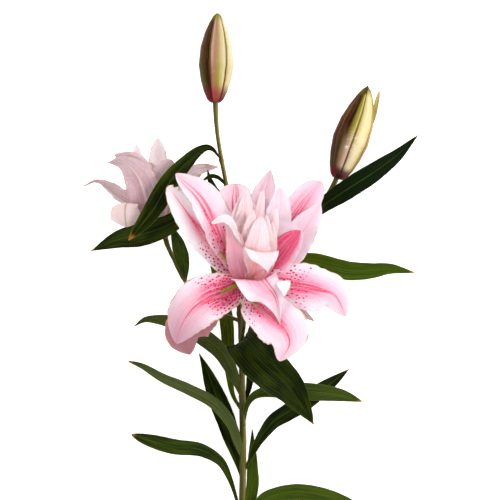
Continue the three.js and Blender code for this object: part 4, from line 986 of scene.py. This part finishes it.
def add_spots(front, count, low, high, rng):
    """Notes where raised spots grow on a petal's face, with their directions and sizes."""
    normal = normals_of(front)
    rows, cols = front.shape[0] - 1, front.shape[1] - 1
    placed = []
    for _ in range(count * SPOT_TRIES):
        if len(placed) == count:
            break
        s = rng.uniform(low, high)
        t = rng.choice((-1, 1)) * rng.uniform(*SPOT_BAND) ** 0.9
        shrink = (s - low) / (high - low)
        if rng.random() < shrink * SPOT_THINNING:
            continue
        i = (1 - (1 - s) ** (1 / TIP_CROWDING)) * rows
        j = (t + 1) / 2 * cols
        a, b = int(i), int(j)
        u, v = i - a, j - b
        corners = ((a, b, (1 - u) * (1 - v)), (a, b + 1, (1 - u) * v),
                   (a + 1, b, u * (1 - v)), (a + 1, b + 1, u * v))
        at = sum(front[x, y] * w for x, y, w in corners)
        if any(np.linalg.norm(at - other) < SPOT_GAP for other, *_ in placed):
            continue
        ahead = front[a + 1, b] - front[a, b]
        size = rng.uniform(*SPOT_SIZES) * (1 - SPOT_SHRINK * shrink)
        placed.append((at, normal[a, b], ahead / np.linalg.norm(ahead), size))
    return placed


def spots_piece(name, spots, material, node, slot):
    """All raised spots of a bloom as small domes."""
    angles = FULL_TURN * np.arange(SPOT_SIDES) / SPOT_SIDES
    points, faces = [], []
    for at, normal, ahead, size in spots:
        base = len(points)
        aside = np.cross(normal, ahead)
        grow = 0.5 + size * 0.6
        for share, height in SPOT_RINGS:
            for angle in angles:
                flat = SPOT_LONG * math.cos(angle) * ahead + SPOT_WIDE * math.sin(angle) * aside
                points.append(at + size * share * flat + normal * height * grow)
        points.append(at + normal * SPOT_TOP * grow)
        points.append(at - normal * SPOT_FOOT)
        top = base + len(SPOT_RINGS) * SPOT_SIDES
        for k in range(SPOT_SIDES):
            after = (k + 1) % SPOT_SIDES
            for low in (base, base + SPOT_SIDES):
                faces.append((low + after, low + k, low + SPOT_SIDES + k, low + SPOT_SIDES + after))
            faces.append((top - SPOT_SIDES + after, top - SPOT_SIDES + k, top))
            faces.append((base + k, base + after, top + 1))
    add_piece(name, np.array(points), faces, {}, material, node)


def spot_paint():
    p = Paint("spot_paint", 0.45, 0.3)
    tone = p.noise(220, 2)
    return p.finish(p.mix(p.rise(tone, 0.3, 0.7), srgb(224, 44, 102), srgb(186, 20, 72)), tone)


def build_main_bloom():
    petal = ("bloom_main", "petal")
    spots = []
    for number, (name, shape) in enumerate({**MAIN_OUTER_PETALS, **MAIN_INNER_PETALS}.items()):
        look = dict(LOOKS[name])
        marks = look.pop("spots", None)
        wave = {"wave": MAIN_WAVE} if name in MAIN_OUTER_PETALS else {}
        shape = {**grown(MAIN_NECK, {**PETAL, **wave}, shape), "torn": look.pop("torn", 0)}
        paint = petal_paint("petal_" + name, float(number), **look)
        front = blade_piece("petal_" + name, shape, paint, *petal, PETAL_GRID)
        if marks:
            spots += add_spots(front, *marks, np.random.default_rng(SPOT_SEED + number))
    plain = dict(rib=0, back=0, throat=0)
    # The heart's petals are white-pink with salmon feet, and plain: no magenta rib or green throat
    heart = petal_paint(
        "heart_paint", 77, tone=0.5, flush=0.1, rim=0.3, pale=srgb(255, 244, 246), soft=srgb(254, 184, 200),
        shade=srgb(255, 208, 216), contrast=1.3, lines=0.8, dark=srgb(255, 136, 126), deep=2.3, reach=0.001,
        soak=0.1, **plain)
    pink = petal_paint("heart_fold_paint", 78, tone=1.2, flush=0.2, rim=0.1, soft=srgb(246, 180, 194),
                       **plain)
    for name, shape in HEART_PETALS.items():
        shape = grown(MAIN_NECK, {**PETAL, **HEART}, shape)
        if shape["across"]:
            shape["roll"] = (0, 0)
        paint = pink if name == "cupped_behind" else heart
        blade_piece("heart_" + name, shape, paint, *petal, HEART_GRID)
    rim = petal_paint("curled_rim_paint", 81, tone=0.08, flush=0, rim=0.9, pale=srgb(255, 248, 250),
                      shade=srgb(250, 226, 234), **plain)
    blade_piece("petal_curled_rim", {**PETAL, **CURLED_RIM}, rim, *petal, RIM_GRID)
    blade_piece("petal_drooping_flap", {**PETAL, **DROOPING_FLAP}, rim, *petal, FLAP_GRID)
    spots_piece("petal_spots", spots, spot_paint(), *petal)
    core = mottled_paint("heart_core_paint", srgb(244, 190, 200), srgb(250, 222, 222), 90, roughness=0.5,
                         subsurface=0.15)
    round_piece("heart_core", HEART_CORE, *CORE_GRID,
                lambda s, a: 9.5 * math.sqrt(math.sin(math.pi * (0.06 + 0.88 * s))) + 0 * a, core, *petal)
    green = mottled_paint("throat_paint", srgb(150, 152, 44), srgb(214, 214, 140), 120, roughness=0.45,
                          subsurface=0.1)
    round_piece("receptacle_main", MAIN_RECEPTACLE, *RECEPTACLE_GRID,
                lambda s, a: 5 + 3.5 * s + 0.25 * np.cos(6 * a), green, *petal)
    olive = mottled_paint("filament_paint", srgb(104, 94, 6), srgb(172, 156, 40), 160, 0.0002, roughness=0.4,
                          specular=0.3)
    for name, (radius, *spine) in FILAMENTS.items():
        def radius_at(s, angles, radius=radius):
            return radius * (1.05 - 0.35 * s**2) + 0.05 * np.cos(3 * angles + 9 * s)

        round_piece(name, spine, *FILAMENT_GRID, radius_at, olive, *petal)


def build_side_bloom():
    petal = ("bloom_side", "petal_pale")
    for number, (name, shape) in enumerate({**SIDE_PETALS, **SIDE_EXTRA_PETALS}.items()):
        look = {**SIDE_LOOK, **SIDE_LOOKS.get(name, {})}
        paint = petal_paint("side_" + name, 50 + number, throat=0.4, **look)
        shape = grown(SIDE_NECK, {**PETAL, "wave": SIDE_WAVE}, shape)
        blade_piece("side_" + name, shape, paint, *petal, SIDE_GRID)
    foot = mottled_paint("side_foot_paint", srgb(176, 96, 104), srgb(196, 140, 120), 120, roughness=0.5)
    round_piece("receptacle_side", SIDE_RECEPTACLE, *RECEPTACLE_GRID,
                lambda s, a: 3.6 + 2.6 * s + 0.2 * np.cos(6 * a), foot, *petal)


def build_leaves():
    for number, (name, shape) in enumerate(LEAVES.items()):
        paint = leaf_paint(name + "_paint", float(number) * 3.1, **LEAF_LOOKS.get(name, {}))
        size = BRACT_GRID if name in BRACTS else LEAF_GRID
        blade_piece(name + "_blade", {**LEAF, **shape}, paint, name, "leaf", size)


def build_stem():
    skin, thin_skin = stem_paint("stem_skin", 0.15), stem_paint("stalk_skin", 0.55)
    for number, (name, stalk) in enumerate(STALKS.items()):
        shares, radii = zip(*stalk["radii"])

        def radius_at(s, angles, stalk=stalk, shares=shares, radii=radii, number=number):
            swell = sum(NODE_SWELL * bell(s - node, NODE_REACH) * (1 + 0.6 * np.sin(angles + 40 * node))
                        for node in stalk["nodes"])
            ribs = STEM_RIBS * np.cos(5 * angles + 2 * math.sin(7 * s))
            ribs = ribs + STEM_RIPPLE * math.sin(60 * s + number)
            return np.interp(s, shares, radii) + ribs + swell

        size = (STEM_SIDES, stalk["rings"])
        paint = thin_skin if number else skin
        round_piece(name, stalk["spine"], *size, radius_at, paint, "stem", "stem", cut=number == 0)


def build_buds():
    shares, outline = zip(*BUD_OUTLINE)
    for name, bud in BUDS.items():
        low, high = ([(place, srgb(*colour)) for place, *colour in bud[key]] for key in ("low", "high"))
        paint = bud_paint(name + "_paint", low, high, bud["turn"], *bud["look"])
        turn = math.radians(bud["turn"])

        def radius_at(s, angles, bud=bud, turn=turn):
            panel = np.abs(np.cos(BUD_PANELS * (angles - turn))) ** 0.5
            wrinkle = BUD_WRINKLE * np.sin(9 * angles + 5 * s) + BUD_WRINKLE * np.sin(21 * angles - 11 * s)
            return bud["radius"] * np.interp(s, shares, outline) * (1 - PANEL_DEPTH * (1 - panel)) + wrinkle

        round_piece(name + "_body", bud["spine"], *BUD_GRID, radius_at, paint, name, "bud")
    for name, shape in BUD_TIPS.items():
        seed, paint_name, look = BUD_TIP_LOOKS[name]
        paint = petal_paint(paint_name, seed, flush=0, rib=0, **look)
        shape = {**PETAL, **shape, "frill": 0.1, "ragged": 0, "swell": 0.05}
        blade_piece(name, shape, paint, "bud_right", "bud", BUD_TIP_GRID)


build_stem()
build_leaves()
build_buds()
build_main_bloom()
build_side_bloom()

# Floor, light and camera

FLOOR_REACH = 4
FLOOR_GLOW = 0.75
FLOOR_GREYS = (0.82, 0.82, 0.82), (0.85, 0.85, 0.85)
WORLD_GLOW = 0.48
LIGHT_TARGET = (0, 0.05, 0.05)
# Each light's place in metres, width and watts
LIGHTS = {
    "key": ((1.2, 0.5, 1.3), 0.9, 21),
    "fill": ((-1.3, -0.2, 1.2), 1.2, 11),
    "top": ((-0.2, 1.6, 1.2), 1.2, 9),
    "bottom": ((0.3, -1.6, 1.1), 1.2, 8),
}
CAMERA_PLACE = (-0.0007, 0.0395, 1.955)
CAMERA_LENS, CAMERA_SENSOR = 135, 36

floor_mesh = bpy.data.meshes.new("floor")
corners = [(x * FLOOR_REACH, y * FLOOR_REACH, 0) for x, y in ((-1, -1), (1, -1), (1, 1), (-1, 1))]
floor_mesh.from_pydata(corners, [], [(0, 1, 2, 3)])
floor = bpy.data.objects.new("floor", floor_mesh)
bpy.context.scene.collection.objects.link(floor)
floor_paint = Paint("floor_paint", 0.9, 0.1)
floor_paint.shader["Emission Color"].default_value = (1, 1, 1, 1)
floor_paint.shader["Emission Strength"].default_value = FLOOR_GLOW
floor_tone = floor_paint.noise(3, 2)
floor_mesh.materials.append(floor_paint.finish(floor_paint.mix(floor_tone, *FLOOR_GREYS)))

for name, (place, size, energy) in LIGHTS.items():
    data = bpy.data.lights.new(name, "AREA")
    data.shape = "DISK"
    data.size = size
    data.energy = energy
    light = bpy.data.objects.new(name, data)
    light.location = place
    aim = np.subtract(LIGHT_TARGET, place)
    tilt = math.acos(-aim[2] / np.linalg.norm(aim))
    light.rotation_euler = (tilt, 0, math.atan2(aim[1], aim[0]) - math.pi / 2)
    bpy.context.scene.collection.objects.link(light)

world = bpy.data.worlds.new("studio")
world.use_nodes = True
background = world.node_tree.nodes["Background"].inputs
background["Color"].default_value = (1, 1, 1, 1)
background["Strength"].default_value = WORLD_GLOW
bpy.context.scene.world = world
bpy.context.scene.view_settings.view_transform = "Standard"

camera_data = bpy.data.cameras.new("camera")
camera_data.lens = CAMERA_LENS
camera_data.sensor_width = CAMERA_SENSOR
camera = bpy.data.objects.new("camera", camera_data)
camera.location = CAMERA_PLACE
bpy.context.scene.collection.objects.link(camera)
bpy.context.scene.camera = camera
